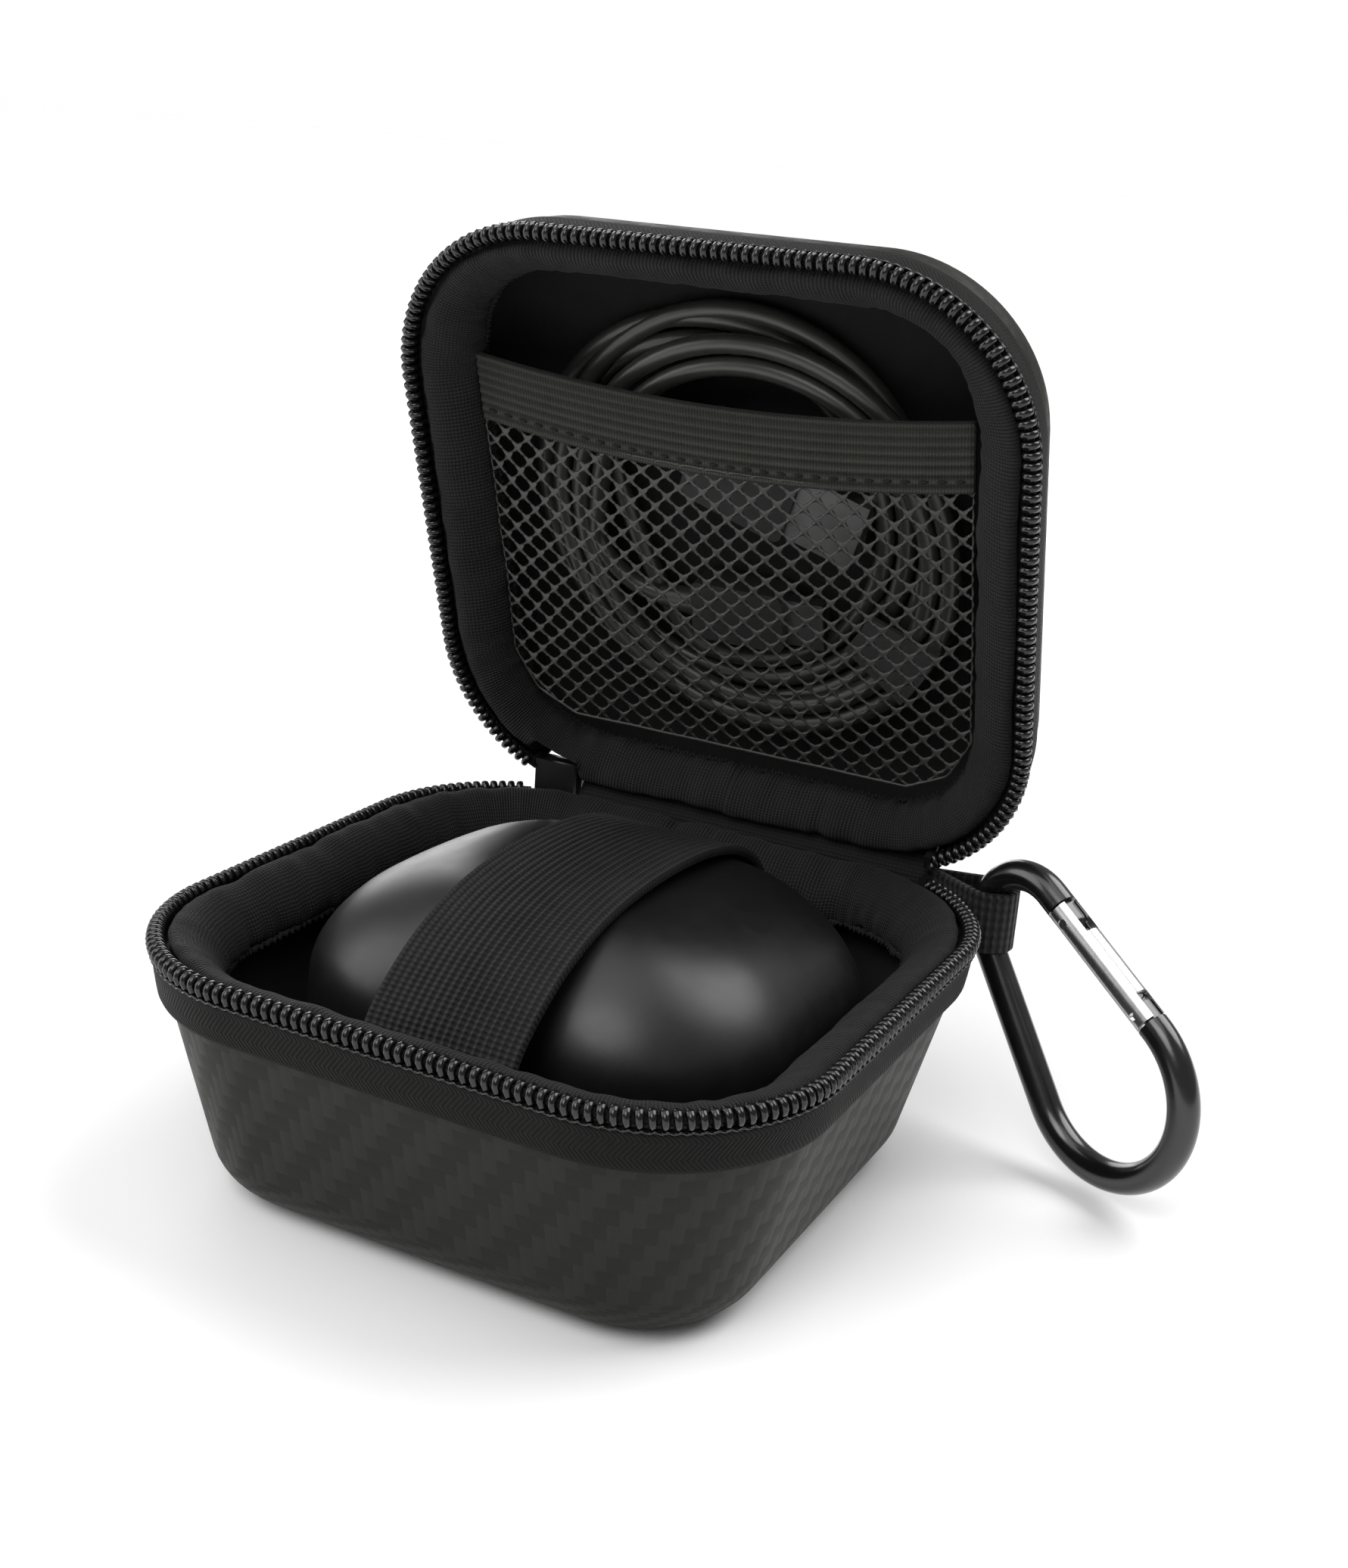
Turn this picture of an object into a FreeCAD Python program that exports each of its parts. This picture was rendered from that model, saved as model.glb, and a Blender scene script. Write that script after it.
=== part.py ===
import FreeCAD, Part
import math
import os

V = FreeCAD.Vector

# Cable organizer pouch: a moulded clamshell with a zip round three sides, a cloth hinge at the back,
# an elastic strap across the base, a net pocket in the lid and a carabiner on a webbing loop.
# Frame: origin on the surface it stands on, under the base's centre. X to the right, Y towards the hinge.

# ---- driving sizes, mm ----
width = 108.0              # over the zip's teeth, left to right
depth = 104.7              # over the zip's teeth, front to back
corner_r = 28.4            # corner radius of the zip's line
base_h = 41.0              # floor to the plane where the two halves meet
lid_h = 23.0               # that plane to the lid's top
lid_rest_deg = 72.75       # how far the lid is open at rest

shell_t = 2.4              # moulded shell wall
lining_t = 0.7             # tricot lining bonded inside the shell
base_draft_deg = 14.0      # base wall slope
lid_draft_deg = 7.0
base_fillet = 9.0          # outside edge of the base's underside
lid_fillet = 12.0          # outside edge of the lid's top

teeth_h = 3.05             # one half of the coil zip, along Z
teeth_t = 2.9              # and across
teeth_gap = 0.15           # half the gap between the two coils
tape_t = 0.8               # woven zip tape outside the shell
tape_h = 6.3               # its visible height below the teeth
tape_flare = 0.75          # how far its lower edge lies inside its upper edge
rim_inset = 0.7            # upper edge of the tape, inside the teeth's line

hinge_past = 13.0          # how far the hinge runs into each corner, past the straight back
hinge_inset = 3.2          # hinge line, inside the rearmost teeth line
hinge_lift = 1.05          # hinge line above the meeting plane
hinge_relief = 9.5         # both shells stop this far from the meeting plane behind the hinge
cloth_t = 1.0
cloth_lap = 6.0            # how far the hinge cloth laps onto each shell
cloth_short = 10.6         # that lap's ends stop this far from the hinge's
gap = 0.3                  # clearance between soft neighbours

bind_in = 12.2             # inner edge of the padded binding, inside the teeth's line
bind_top = 1.2             # binding's top below the meeting plane
bind_flange_t = 1.9        # its flange over the shell's edge
bind_lip_h = 6.6           # its padded lip, down inside the case
bind_lip_t = 5.6
bind_round = 3.4           # rounding of the lip's upper edge

device_l = 79.0            # stored device, left to right
device_w = 71.2            # front to back
device_h = 44.6
device_r = 26.0            # its corner radius seen from above
device_top_r = 20.0
device_low_r = 15.0
device_x = 0.4
device_y = 3.4
device_tilt_deg = 3.0      # its front sits a little high
strap_w = 24.0             # elastic strap
strap_t = 1.2
strap_x = 2.0
strap_end_z = 30.0         # where its two ends are sewn in

net_t = 0.7                # pocket net
net_w = 6.2                # its height above the meeting plane, lid closed
net_edge = 0.8             # its sides, inside the binding's edge
net_low = 13.0             # nearest and furthest from the hinge line
net_high = 66.0
net_corner = 16.0
band_h = 11.0              # elastic band on the pocket's mouth
band_t = 1.1
band_sag = 3.5             # the band's middle hangs this much towards the hinge

cable_d = 3.3              # cable
coil_r = 38.4              # outer radius of the wound cable
coil_in_r = 27.5
coil_t = 6.0
coil_x = -1.5
coil_v = 49.0              # coil centre from the hinge line
coil_room = 0.4            # between the tie and the lid's lining

plug_l = 19.0              # USB plug: moulded body, metal shell and strain relief
plug_w = 15.0
plug_h = 7.0
shell_l = 12.0
shell_w = 12.0
shell_h = 4.5
relief_l = 7.0
relief_d = 4.6
plug_x = -8.4              # rear end of its body
plug_v = 61.6
plug_turn_deg = 20.0
small_plug_w = 10.6        # the cable's other end
small_plug_h = 6.4
small_plug_l = 17.0
small_shell_w = 8.3
small_shell_h = 2.5
small_shell_l = 6.6
small_x = -10.0
small_v = 33.0
small_turn_deg = 0.0
tie_t = 0.9                # cable tie round the coil
tie_deg = 18.0             # the part of the coil it covers
tie_at_deg = 32.0          # from +X towards the hinge

rod_d = 5.0                # carabiner
top_r = 9.0                # bend radii of its rod's centre line
low_r = 14.6
carab_out = 1.6            # point that its plane passes through: outside the zip's side
carab_in = 6.35            # and inside its back
carab_z = 37.6
carab_deg = -26.0          # heading of its plane from +X
top_s, top_z = 0.2, -0.8   # bend centres in that plane, from that point
low_s, low_z = 21.0, -18.8
gate_d = 5.0
gate_wall = 0.7
gate_open_deg = 24.0
gate_start = 0.10          # gate's ends as shares of the straight side, from the top bend
gate_end = 0.97
tongue_t = 2.2             # flat tongue that the gate turns on
rivet_d = 1.6
pin_d = 1.2
run_fit = 0.05             # radial clearance of a running fit

loop_w = 10.0              # webbing loop: width of the webbing, standing on edge
loop_t = 1.0
loop_z = 36.5              # its middle above the floor
loop_tail_in = 24.0        # where its tails are sewn in, inside the zip's side
loop_slack = 0.6           # round the rod

stop_h = 2.6               # clamp at the zip's right end
stop_l = 1.2
slider_l = 8.0
slider_in = 4.6            # its middle, inside the hinge's end
slider_t = 0.9             # each plate of the slider
slider_h = 6.6
slider_half = 1.9          # half its depth over both plates
slider_room = 3.6          # lid binding stops this far from the hinge line beside the slider
post_in = 0.6              # posts that carry the pull's bar
post_l = 1.2
post_h = 2.6
pull_l = 19.0
pull_w = 5.4
pull_t = 1.3
bridge_d = 1.2

# ---- worked out ----
half_w = width / 2
half_d = depth / 2
cx = half_w - corner_r     # corner centres
cy = half_d - corner_r
hinge_half = cx + hinge_past
cloth_half = hinge_half - cloth_short
slider_x = slider_in - hinge_half
net_half = half_w - bind_in - net_edge
coil_w = lid_h - shell_t - lining_t - coil_t - tie_t - coil_room
carab_x = half_w + carab_out
carab_y = half_d - carab_in
loop_tail_x = half_w - loop_tail_in
hinge_y = half_d - hinge_inset
hinge_z = base_h + hinge_lift
tape_top = teeth_gap + teeth_h
shapes = {}
print("lid hinge", hinge_y, hinge_z)


def put(name, shape):
    shapes[name] = shape


def edge_path(points):
    """A closed face from points; a point after a "mid" entry is joined by an arc through it."""
    edges = []
    n = len(points)
    i = 0
    while i < n:
        a = points[i]
        b = points[(i + 1) % n]
        if len(b) == 3:
            c = points[(i + 2) % n]
            edges.append(Part.Arc(V(a[0], 0, a[1]), V(b[0], 0, b[1]), V(c[0], 0, c[1])).toShape())
            i += 2
        else:
            edges.append(Part.LineSegment(V(a[0], 0, a[1]), V(b[0], 0, b[1])).toShape())
            i += 1
    return Part.Face(Part.Wire(edges))


def ring(points, hx=None, hy=None):
    """Sweeps a profile of (distance from the corner's centre, height) round a rounded rectangle."""
    hx = cx if hx is None else hx
    hy = cy if hy is None else hy
    face = edge_path(points)
    parts = []
    for sx, sy, turn in ((1, 1, 0), (-1, 1, 90), (-1, -1, 180), (1, -1, 270)):
        corner = face.copy()
        corner.rotate(V(0, 0, 0), V(0, 0, 1), turn)
        corner.translate(V(sx * hx, sy * hy, 0))
        parts.append(corner.revolve(V(sx * hx, sy * hy, 0), V(0, 0, 1), 90))
        side = face.copy()
        side.rotate(V(0, 0, 0), V(0, 0, 1), turn + 90)
        side.translate(V(sx * hx, sy * hy, 0))
        along = V(-2 * hx * sy, 0, 0) if turn in (0, 180) else V(0, -2 * hy * sy, 0)
        parts.append(side.extrude(along))
    return parts[0].multiFuse(parts[1:])


def block(x0, x1, y0, y1, z0, z1):
    return Part.makeBox(x1 - x0, y1 - y0, z1 - z0, V(x0, y0, z0))


def lofted(points, slab_z0, slab_z1, hx=None, hy=None):
    """A ring whose profile reaches the corner centres, closed across the middle by a slab."""
    hx = cx if hx is None else hx
    hy = cy if hy is None else hy
    return ring(points, hx, hy).fuse(block(-hx, hx, -hy, hy, slab_z0, slab_z1)).removeSplitter()


def mirror_up(points):
    """A base profile turned over for the lid: heights counted upwards from the meeting plane."""
    return [(p[0], 2 * base_h - p[1]) + tuple(p[2:]) for p in points]


def wall_profile(height, drop_top, inset_top, draft, fillet, wall):
    """Open tray profile below the meeting plane: outside wall, rounded edge, floor, then back up inside."""
    z_top = base_h - drop_top
    z_low = base_h - height
    slope = math.radians(draft)
    r_top = corner_r - inset_top
    z_tan = z_low + fillet * (1 - math.sin(slope))
    r_tan = r_top - (z_top - z_tan) * math.tan(slope)
    r_flat = r_tan - fillet * math.cos(slope)
    mid = (math.pi / 2 + slope) / 2
    in_fillet = fillet - wall
    cos_s, sin_s = math.cos(slope), math.sin(slope)
    return [
        (r_top, z_top),
        (r_tan, z_tan),
        (r_flat + fillet * math.cos(mid), z_low + fillet * (1 - math.sin(mid)), "mid"),
        (r_flat, z_low),
        (0, z_low),
        (0, z_low + wall),
        (r_flat, z_low + wall),
        (r_flat + in_fillet * math.cos(mid), z_low + fillet - in_fillet * math.sin(mid), "mid"),
        (r_flat + in_fillet * cos_s, z_low + fillet - in_fillet * sin_s),
        (r_top - wall / cos_s, z_top),
    ]


def behind(top, bottom, extra=0.0):
    """Block over the hinge's width, behind the inner edge of the shells, between two heights."""
    return block(-hinge_half - extra, hinge_half + extra, hinge_y - 8, half_d + 20, bottom, top)


def open_lid(shape):
    """From closed to the rest pose."""
    done = shape.copy()
    done.rotate(V(0, hinge_y, hinge_z), V(1, 0, 0), -lid_rest_deg)
    return done


# ---- base ----
tape_low = tape_top + tape_h
shell_top_inset = rim_inset + tape_t + 0.1


def shell_rim_profile(height, draft, fillet):
    return wall_profile(height, tape_top + 0.2, shell_top_inset, draft, fillet, shell_t)


def tray(height, draft, fillet, lid):
    """Shell and lining of one half."""
    shell_points = shell_rim_profile(height, draft, fillet)
    inner = shell_t / math.cos(math.radians(draft))
    lining_points = wall_profile(height - shell_t, tape_top + 1.2, shell_top_inset + inner
                                 + math.tan(math.radians(draft)), draft, fillet - shell_t, lining_t)
    low = base_h - height
    spans = ((low, low + shell_t), (low + shell_t, low + shell_t + lining_t))
    if lid:
        shell_points, lining_points = mirror_up(shell_points), mirror_up(lining_points)
        spans = [(2 * base_h - b, 2 * base_h - a) for a, b in spans]
        relief = behind(base_h + hinge_relief, base_h - 1)
    else:
        relief = behind(base_h + 1, base_h - hinge_relief)
    shell = lofted(shell_points, *spans[0]).cut(relief)
    lining = lofted(lining_points, *spans[1]).cut(relief)
    return shell, lining


def trims(lid):
    """Teeth, outer tape and padded binding of one half."""
    z = base_h
    r = corner_r
    teeth = [(r, z - teeth_gap), (r, z - tape_top), (r - teeth_t, z - tape_top), (r - teeth_t, z - teeth_gap)]
    slope_in = tape_flare / tape_h
    tape = [
        (r - rim_inset, z - tape_top), (r - rim_inset - tape_flare, z - tape_low),
        (r - rim_inset - tape_flare - tape_t, z - tape_low),
        (r - rim_inset - tape_t, z - tape_top),
    ]
    lip_out = r - bind_in + bind_lip_t
    lip_in = r - bind_in
    z_flange = z - bind_top - bind_flange_t
    binding = [
        (r - teeth_t - 0.4, z - bind_top), (r - teeth_t - 0.4, z_flange),
        (lip_out, z_flange), (lip_out - 1.0, z - bind_top - bind_lip_h),
        (lip_in + 1.0, z - bind_top - bind_lip_h),
        (lip_in, z - bind_top - bind_lip_h + 1.2),
        (lip_in, z - bind_top - bind_round),
        (lip_in + bind_round * (1 - math.sqrt(0.5)), z - bind_top - bind_round * (1 - math.sqrt(0.5)), "mid"),
        (lip_in + bind_round, z - bind_top),
    ]
    solids = []
    for points in (teeth, tape, binding):
        solids.append(ring(mirror_up(points) if lid else points).removeSplitter())
    if lid:
        relief = behind(base_h + hinge_relief, base_h - 1)
        bind_relief = block(-hinge_half, hinge_half, hinge_y - gap, half_d + 20, base_h - 1, base_h + 20)
        beside = block(-hinge_half, slider_x + slider_l / 2 + 2 * gap, hinge_y - slider_room, half_d + 20,
                       base_h - 1, base_h + 20)
        bind_relief = bind_relief.fuse(beside)
    else:
        relief = behind(base_h + 1, base_h - hinge_relief)
        bind_relief = block(-hinge_half, hinge_half, hinge_y - gap, half_d + 20, 0, base_h + 1)
    return solids[0].cut(relief), solids[1].cut(relief), solids[2].cut(bind_relief)


base_shell, base_lining = tray(base_h, base_draft_deg, base_fillet, False)
base_teeth, base_tape, base_binding = trims(False)
put("base_shell", base_shell)
put("base_lining", base_lining)
put("base_teeth", base_teeth)
put("base_tape", base_tape)
put("base_binding", base_binding)

lid_shell, lid_lining = tray(lid_h, lid_draft_deg, lid_fillet, True)
lid_teeth, lid_tape, lid_binding = trims(True)
for name, shape in (("lid_shell", lid_shell), ("lid_lining", lid_lining), ("lid_teeth", lid_teeth),
                    ("lid_tape", lid_tape), ("lid_binding", lid_binding)):
    put(name, open_lid(shape))


def hinge_cloth(lid):
    """The lap of the hinge cloth that is sewn to one shell's outside, up to that shell's edge."""
    draft = lid_draft_deg if lid else base_draft_deg
    slope = math.tan(math.radians(draft))
    r_edge = corner_r - shell_top_inset - (hinge_relief - tape_top - 0.2) * slope
    z0 = base_h - hinge_relief
    off = 0.1
    points = [
        (r_edge + off, z0), (r_edge + off - cloth_lap * slope, z0 - cloth_lap),
        (r_edge + off + cloth_t - cloth_lap * slope, z0 - cloth_lap), (r_edge + off + cloth_t, z0),
    ]
    points = mirror_up(points) if lid else points
    z_range = (base_h, base_h + 30) if lid else (0, base_h)
    keep = block(-cloth_half, cloth_half, hinge_y - 10, half_d + 10, *z_range)
    return ring(points).common(keep)


put("hinge_cloth_base", hinge_cloth(False))
put("hinge_cloth_lid", open_lid(hinge_cloth(True)))


def end_stop(lid):
    """The clamp that closes one tape's teeth, where the zip ends at the right of the hinge."""
    z0 = base_h + teeth_gap if lid else base_h - teeth_gap - stop_h
    y_end = cy + math.sqrt(corner_r ** 2 - (hinge_half - cx) ** 2)
    x1 = hinge_half - 0.5
    return block(x1 - stop_l, x1, y_end - teeth_t + 0.1, y_end - 0.5, z0, z0 + stop_h)


put("base_end_stop", end_stop(False))
put("lid_end_stop", open_lid(end_stop(True)))


# ---- stored device and its strap ----
def pebble(grow):
    """The device's outline grown by a thickness."""
    r = device_r + grow
    z0 = device_z - grow
    z1 = device_z + device_h + grow
    rt, rl = device_top_r + grow, device_low_r + grow
    k = 1 - math.sqrt(0.5)
    points = [
        (0, z0), (r - rl, z0), (r - rl * k, z0 + rl * k, "mid"), (r, z0 + rl),
        (r, z1 - rt), (r - rt * k, z1 - rt * k, "mid"), (r - rt, z1), (0, z1),
    ]
    hx, hy = device_l / 2 - device_r, device_w / 2 - device_r
    return lofted(points, z0, z1, hx, hy)


device_z = shell_t + lining_t + 1.2


def settle(shape):
    done = shape.copy()
    done.rotate(V(0, 0, device_z + device_h / 2), V(1, 0, 0), -device_tilt_deg)
    done.translate(V(device_x, device_y, 0))
    return done


device = settle(pebble(0))
put("stored_device", device)
strap_zone = block(strap_x - strap_w / 2, strap_x + strap_w / 2, -60, 60, strap_end_z, 80)
strap = settle(pebble(gap + strap_t)).common(strap_zone).cut(settle(pebble(gap)))
put("elastic_strap", strap)


# ---- webbing loop on the base, and the carabiner ----
plane_x = V(math.cos(math.radians(carab_deg)), math.sin(math.radians(carab_deg)), 0)
plane_n = V(-plane_x.y, plane_x.x, 0)
carab_o = V(carab_x, carab_y, carab_z)


def in_plane(s, z, off=0.0):
    """A point of the carabiner's plane."""
    return carab_o + plane_x * s + V(0, 0, z) + plane_n * off


top_c, low_c = (top_s, top_z), (low_s, low_z)
centre_gap = math.hypot(low_s - top_s, low_z - top_z)
axis_deg = math.degrees(math.atan2(top_z - low_z, top_s - low_s))
lean_deg = math.degrees(math.asin((low_r - top_r) / centre_gap))


def around(centre, radius, deg):
    return (centre[0] + radius * math.cos(math.radians(deg)), centre[1] + radius * math.sin(math.radians(deg)))


gate_dir = axis_deg - 90 + lean_deg       # outward normal of the gate's side
spine_dir = axis_deg + 90 - lean_deg      # outward normal of the spine
gate_top = around(top_c, top_r, gate_dir)
gate_low = around(low_c, low_r, gate_dir)
side_u = ((gate_low[0] - gate_top[0]), (gate_low[1] - gate_top[1]))
side_l = math.hypot(*side_u)
side_u = (side_u[0] / side_l, side_u[1] / side_l)
side_v = V(plane_x.x * side_u[0], plane_x.y * side_u[0], side_u[1])
out_v = V(plane_x.x * math.cos(math.radians(gate_dir)), plane_x.y * math.cos(math.radians(gate_dir)),
          math.sin(math.radians(gate_dir)))


def on_side(share, out=0.0, off=0.0):
    """A point along the gate's side, from the top bend to the low bend."""
    base = V(*in_plane(gate_top[0] + side_u[0] * side_l * share, gate_top[1] + side_u[1] * side_l * share, off))
    return base + out_v * out


def rod():
    """The bent rod, from the gate's pivot end round to its latch end."""
    low_mid = (gate_dir + spine_dir) / 2 + 180
    top_mid = (gate_dir + spine_dir) / 2
    spine_top, spine_low = around(top_c, top_r, spine_dir), around(low_c, low_r, spine_dir)
    path = Part.Wire([
        Part.LineSegment(on_side(gate_start), on_side(0)).toShape(),
        Part.Arc(on_side(0), in_plane(*around(top_c, top_r, top_mid)), in_plane(*spine_top)).toShape(),
        Part.LineSegment(in_plane(*spine_top), in_plane(*spine_low)).toShape(),
        Part.Arc(in_plane(*spine_low), in_plane(*around(low_c, low_r, low_mid)), on_side(1)).toShape(),
        Part.LineSegment(on_side(1), on_side(gate_end)).toShape(),
    ])
    circle = Part.Wire([Part.Circle(on_side(gate_start), side_v, rod_d / 2).toShape()])
    return path.makePipeShell([circle], True, True)


def bar(a, b, d):
    """A round bar between two points."""
    return Part.makeCylinder(d / 2, (b - a).Length, a, b - a)


def slab(share0, share1, out0, out1, thick):
    """A flat block along the gate's side, thick across the carabiner's plane."""
    a = on_side(share0, out0, -thick / 2)
    b = on_side(share1, out0, -thick / 2)
    c = on_side(share1, out1, -thick / 2)
    d = on_side(share0, out1, -thick / 2)
    return Part.Face(Part.makePolygon([a, b, c, d, a])).extrude(plane_n * thick)


joint_gap = 0.35 / side_l
pivot_share = gate_start + 3.0 / side_l
latch_share = gate_end - 2.2 / side_l
pivot_p = on_side(pivot_share)
gate_from = on_side(gate_start + joint_gap)
gate_to = on_side(gate_end - joint_gap)

tongue_half = 1.55
tongue = slab(gate_start - 0.5 / side_l, pivot_share, -tongue_half, tongue_half, tongue_t)
tongue = tongue.fuse(Part.makeCylinder(tongue_half, tongue_t, pivot_p - plane_n * (tongue_t / 2), plane_n))
hook_t = 1.8
hook = slab(latch_share - 1.1 / side_l, gate_end + 0.4 / side_l, -0.1, 1.75, hook_t)
frame = rod().fuse([tongue, hook])
frame = frame.cut(Part.makeCylinder(rivet_d / 2 + run_fit, 8, pivot_p - plane_n * 4, plane_n))
pin_space = Part.makeCylinder(pin_d / 2 + 0.15, 8, on_side(latch_share, -0.1) - plane_n * 4, plane_n)
frame = frame.cut(pin_space)
put("carabiner_frame", frame.removeSplitter())

tube = bar(gate_from, gate_to, gate_d).cut(bar(on_side(gate_start), on_side(gate_end), gate_d - 2 * gate_wall))
slot_w = tongue_t + 0.4
fork = slab(gate_start - 0.02, pivot_share + 3.4 / side_l, -4, 4, slot_w)
fork = fork.fuse(slab(latch_share - 2.6 / side_l, gate_end + 0.02, -4, 4, hook_t + 0.5))
# the pivot end is relieved so that it clears the rod's shoulder when the gate is open
shoulder = slab(gate_start - 6 / side_l, gate_start + 0.05 / side_l, -6, 6, 12)
opening = -gate_open_deg if plane_n.cross(side_v).dot(out_v) > 0 else gate_open_deg
shoulder.rotate(pivot_p, plane_n, -opening)
tube = tube.cut(fork.fuse(shoulder))
tube = tube.cut(Part.makeCylinder(rivet_d / 2, 8, pivot_p - plane_n * 4, plane_n))
tube = tube.cut(Part.makeCylinder(pin_d / 2, 8, on_side(latch_share, -0.1) - plane_n * 4, plane_n))
put("gate_tube", tube)
print("gate hinge", pivot_p, "axis", plane_n, "opening", opening)
print("carabiner swings about", in_plane(top_s - top_r, top_z))

rivet = Part.makeCylinder(rivet_d / 2, gate_d - 0.2, pivot_p - plane_n * (gate_d / 2 - 0.1), plane_n)
put("gate_rivet", rivet)
pin = Part.makeCylinder(pin_d / 2, gate_d - 0.8, on_side(latch_share, -0.1) - plane_n * (gate_d / 2 - 0.4), plane_n)
put("gate_latch_pin", pin)
plunger_at = pivot_share + 4.2 / side_l
bore = gate_d - 2 * gate_wall
put("gate_plunger", bar(on_side(plunger_at), on_side(plunger_at + 2.5 / side_l), bore - 2 * run_fit))
spring_len = 9.0
spring = bar(on_side(plunger_at + 2.6 / side_l), on_side(plunger_at + (2.6 + spring_len) / side_l), bore - 0.4)
spring = spring.cut(bar(on_side(plunger_at), on_side(plunger_at + 14 / side_l), bore - 1.6))
put("gate_spring", spring)


def webbing_loop():
    """Webbing on edge: two tails sewn to the back of the base, opening into an eye round the rod."""
    rod_c = in_plane(top_s - top_r, top_z)
    reach = loop_w / 2 + abs(rod_c.z - loop_z)
    bulge = top_r - math.sqrt(top_r ** 2 - reach ** 2)
    eye_r = rod_d / 2 + loop_slack + bulge / 2
    centre = V(rod_c.x, rod_c.y, 0) + plane_x * (bulge / 2)
    tail_y = half_d - shell_top_inset - 0.2
    tail_end = V(loop_tail_x, tail_y + loop_t + gap, 0)
    run = centre - tail_end
    heading = math.atan2(run.y, run.x)
    z0 = loop_z - loop_w / 2

    def outline(r):
        """Teardrop: a round eye with straight sides closing on the tails."""
        far = V(centre.x + r * math.cos(heading), centre.y + r * math.sin(heading), z0)
        side = [V(centre.x + r * math.cos(heading + s * math.pi / 2),
                  centre.y + r * math.sin(heading + s * math.pi / 2), z0) for s in (1, -1)]
        return far, side

    outer_far, outer_side = outline(eye_r + loop_t)
    tail_half = loop_t
    nose = V(centre.x - (eye_r + 7) * math.cos(heading), centre.y - (eye_r + 7) * math.sin(heading), z0)
    across = V(-math.sin(heading), math.cos(heading), 0)
    neck = [nose + across * tail_half, nose - across * tail_half]
    end = V(tail_end.x, tail_end.y, z0)
    ends = [V(end.x, end.y + tail_half, z0), V(end.x, end.y - tail_half, z0)]
    wire = Part.Wire([
        Part.LineSegment(ends[0], neck[0]).toShape(),
        Part.LineSegment(neck[0], outer_side[0]).toShape(),
        Part.Arc(outer_side[0], outer_far, outer_side[1]).toShape(),
        Part.LineSegment(outer_side[1], neck[1]).toShape(),
        Part.LineSegment(neck[1], ends[1]).toShape(),
        Part.LineSegment(ends[1], ends[0]).toShape(),
    ])
    body = Part.Face(wire).extrude(V(0, 0, loop_w))
    inner_far, inner_side = outline(eye_r)
    tip = V(centre.x - (eye_r + 3) * math.cos(heading), centre.y - (eye_r + 3) * math.sin(heading), z0)
    hole = Part.Face(Part.Wire([
        Part.LineSegment(tip, inner_side[0]).toShape(),
        Part.Arc(inner_side[0], inner_far, inner_side[1]).toShape(),
        Part.LineSegment(inner_side[1], tip).toShape(),
    ])).extrude(V(0, 0, loop_w))
    return body.cut(hole)


put("webbing_loop", webbing_loop())


# ---- zip slider, parked at the left end behind the hinge ----
slider_y = hinge_y + slider_half
slider_z = hinge_z - 0.4


def slider():
    """Two plates joined by a nose, with a bar for the pull between two posts on the outer one."""
    x0, x1 = slider_x - slider_l / 2, slider_x + slider_l / 2
    z0, z1 = slider_z - slider_h / 2, slider_z + slider_h / 2
    y_in, y_out = slider_y - slider_half, slider_y + slider_half
    inner = block(x0, x1, y_in, y_in + slider_t, z0, z1)
    outer = block(x0, x1, y_out - slider_t, y_out, z0, z1)
    nose = block(x0, x0 + 2.2, y_in, y_out, slider_z - 1.1, slider_z + 1.1)
    body = inner.fuse([outer, nose])
    for x in (x0 + post_in, x1 - post_in - post_l):
        body = body.fuse(block(x, x + post_l, y_out, y_out + post_h, slider_z - post_l / 2, slider_z + post_l / 2))
    at = V(slider_x, y_out + post_h - bridge_d / 2, slider_z)
    bridge_l = slider_l - 2 * post_in - 2 * post_l
    bridge = Part.makeCylinder(bridge_d / 2, bridge_l, at - V(bridge_l / 2, 0, 0), V(1, 0, 0))
    return body.removeSplitter(), bridge, at, bridge_l - 0.6


def pull(at, eye_w):
    """Eye round the slider's bar, a neck and a leaf, hanging down."""
    eye_r = bridge_d / 2 + run_fit + 1.0
    y0, y1 = at.y + eye_r - pull_t, at.y + eye_r
    eye = Part.makeCylinder(eye_r, eye_w, at - V(eye_w / 2, 0, 0), V(1, 0, 0))
    neck_z = at.z - slider_h / 2 - 1
    neck = block(at.x - eye_w / 2, at.x + eye_w / 2, y0, y1, neck_z - 0.5, at.z)
    leaf = block(at.x - pull_w / 2, at.x + pull_w / 2, y0, y1, at.z - pull_l, neck_z)
    bore = Part.makeCylinder(bridge_d / 2 + run_fit, slider_l * 2, at - V(slider_l, 0, 0), V(1, 0, 0))
    return eye.fuse([neck, leaf]).cut(bore).removeSplitter()


slider_body, bridge, pull_at, eye_width = slider()
put("slider_body", slider_body)
put("slider_bridge", bridge)
put("pull_tab", pull(pull_at, eye_width))
print("pull hinge", pull_at)


# ---- lid pocket, cable and plugs, drawn with the lid closed ----
def lid_point(x, v, w):
    """x, distance from the hinge line, height above the meeting plane."""
    return V(x, hinge_y - v, base_h + w)


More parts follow.
